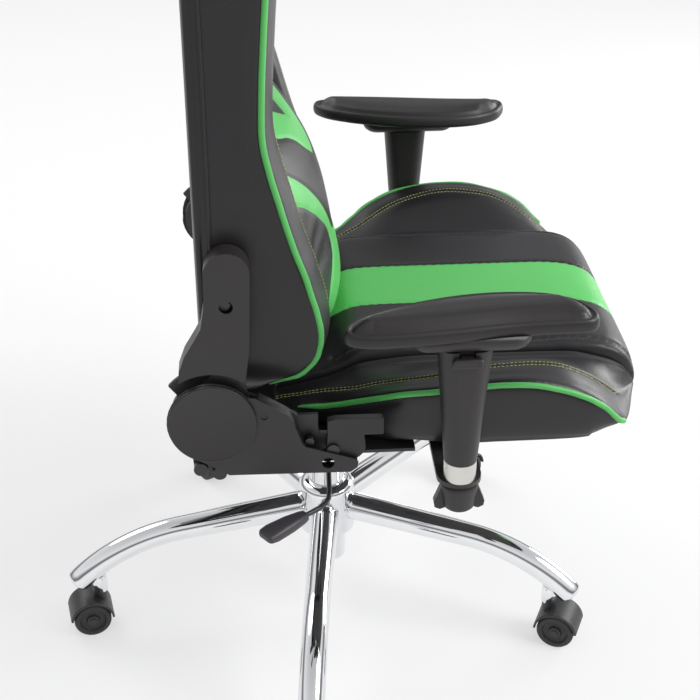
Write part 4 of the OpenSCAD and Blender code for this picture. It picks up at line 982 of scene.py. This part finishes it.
def make_headrest():
    """Level sections between a box and an ellipse: a half depth times cos^0.62 and a half width
    times sin^0.5 of the angle, each with its sign."""
    rear = -0.149
    z = np.linspace(1.0605, 1.2395, 60)[:, None]
    front, half = table_curve(HEAD_FRONT, z), table_curve(HEAD_HALF, z)
    depth = (front - rear) / 2
    angle = np.linspace(0, 2 * np.pi, 160, endpoint=False)
    c, s = np.cos(angle), np.sin(angle)
    x = (front - depth) + depth * np.sign(c) * np.abs(c) ** 0.62
    y = half * np.sign(s) * np.abs(s) ** 0.5
    head = new_piece("headrest_cover", *skin_mesh(grid_of(x, y, z)), black_leather)
    puffed(head, 0.006, 0.003, 2.0)
    subdivided(head)
    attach(head, "back")
    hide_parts("headrest")


make_headrest()
rounded_copy("back_rear_panel", black_leather, "back", width=0.004, segments=4)

# ---- Armrests ----
# A steel bracket holds each silver tube by a clamp knob. The moulded sleeve slides on the tube
# and is locked by the button on its outer face, and its plate carries a soft pad.

PAD_PLAN = [
    [4, 338], [8, 325], [22, 309], [45, 295], [71, 283.5], [123, 268], [173, 262], [222, 267],
    [256, 284], [270, 306], [273.5, 323], [267, 335], [250, 338.5], [220, 339.5], [179, 342],
    [122, 350], [76, 355], [36, 356.5], [15, 353], [6, 347]]
PAD_EDGE = [
    [11, 583.2], [5, 582], [1.6, 582.6], [0, 586], [0, 590.5], [1, 594.2], [3, 596.6],
    [5.2, 596.6], [7.2, 595], [9, 594.8], [11.5, 597], [14.5, 600.2]]
PAD_CROWN = [[0.2, 602.8], [0.38, 604.9], [0.6, 606.5], [0.85, 607.3], [0.97, 607.5]]
PLATE_RINGS = [[15, 565.4], [9, 566.2], [4, 570], [1.5, 575], [0, 582.9]]


def make_pad(side, sign):
    """The pad's plan runs from a narrow rear to a wide front. Its rings lie inside that outline:
    a lip and a groove at the edge, and then a crown over the line between two inner points."""
    plan = even_path(np.array(PAD_PLAN) / 1000, 150, closed=True)
    rear, front = np.array([0.036, 0.333]), np.array([0.236, 0.302])
    along = front - rear
    share = np.clip((plan - rear) @ along / (along @ along), 0, 1)
    inward = rear + share[:, None] * along - plan
    unit = inward / np.linalg.norm(inward, axis=1, keepdims=True)
    inset, edge_z = np.array(PAD_EDGE).T[..., None, None] / 1000
    crown_share, crown_z = np.array(PAD_CROWN).T[..., None, None]
    edge = plan + unit * inset
    top = edge[-1] + (inward - unit * inset[-1]) * crown_share
    rings, z = np.concatenate([edge, top]), np.concatenate([edge_z, crown_z / 1000])
    grid = np.concatenate([rings, np.broadcast_to(z, (*rings.shape[:2], 1))], 2)
    grid = smooth_path(grid.reshape(len(grid), -1), 80).reshape(80, 150, 3) * [1, sign, 1]
    pad = new_piece(f"arm_pad_skin_{side}", *skin_mesh(grid), pad_skin)
    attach(pad, f"armrest_{side}")
    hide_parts(f"arm_pad_{side}")


def make_carrier(side, sign):
    """The plate under a pad: level rings, each a rectangle with rounded corners, grow upwards."""
    turn = np.linspace(0, np.pi / 2, 8)
    arc = np.stack([np.cos(turn), np.sin(turn)], 1)
    rings = []
    for inset, z in np.array(PLATE_RINGS) / 1000:
        half, radius = np.array([0.066, 0.031]) - inset, 0.022 - inset
        corner = arc * radius + half - radius
        quarter = np.concatenate([corner, corner[::-1] * [-1, 1]])
        x, y = (np.concatenate([quarter, -quarter]) + [0.137, 0.3165]).T
        rings.append(grid_of(x, sign * y, z))
    carrier = new_piece(f"arm_pad_carrier_{side}", *skin_mesh(np.array(rings)), covers_plastic)
    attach(carrier, f"armrest_{side}")
    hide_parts(f"arm_pad_plate_{side}")


satin_silver = metal_finish("satin_silver", (0.72, 0.7, 0.66), 1.0, 0.3)
pad_skin = plastic_finish("pad_skin", (0.018, 0.0152, 0.0166), 1100, 0.42, 0.00016)
for side, sign in SIDES:
    make_pad(side, sign)
    make_carrier(side, sign)
    dress(f"arm_tube_{side}", satin_silver)
    dress(f"arm_bracket_{side}", black_paint)
    rounded_copy(f"arm_sleeve_{side}", covers_plastic, f"armrest_{side}", width=0.001)
    rounded_copy(
        f"arm_button_{side}", covers_plastic, f"arm_button_{side}", width=0.0025)
    rounded_copy(f"wing_knob_{side}", covers_plastic, f"wing_knob_{side}", width=0.001)
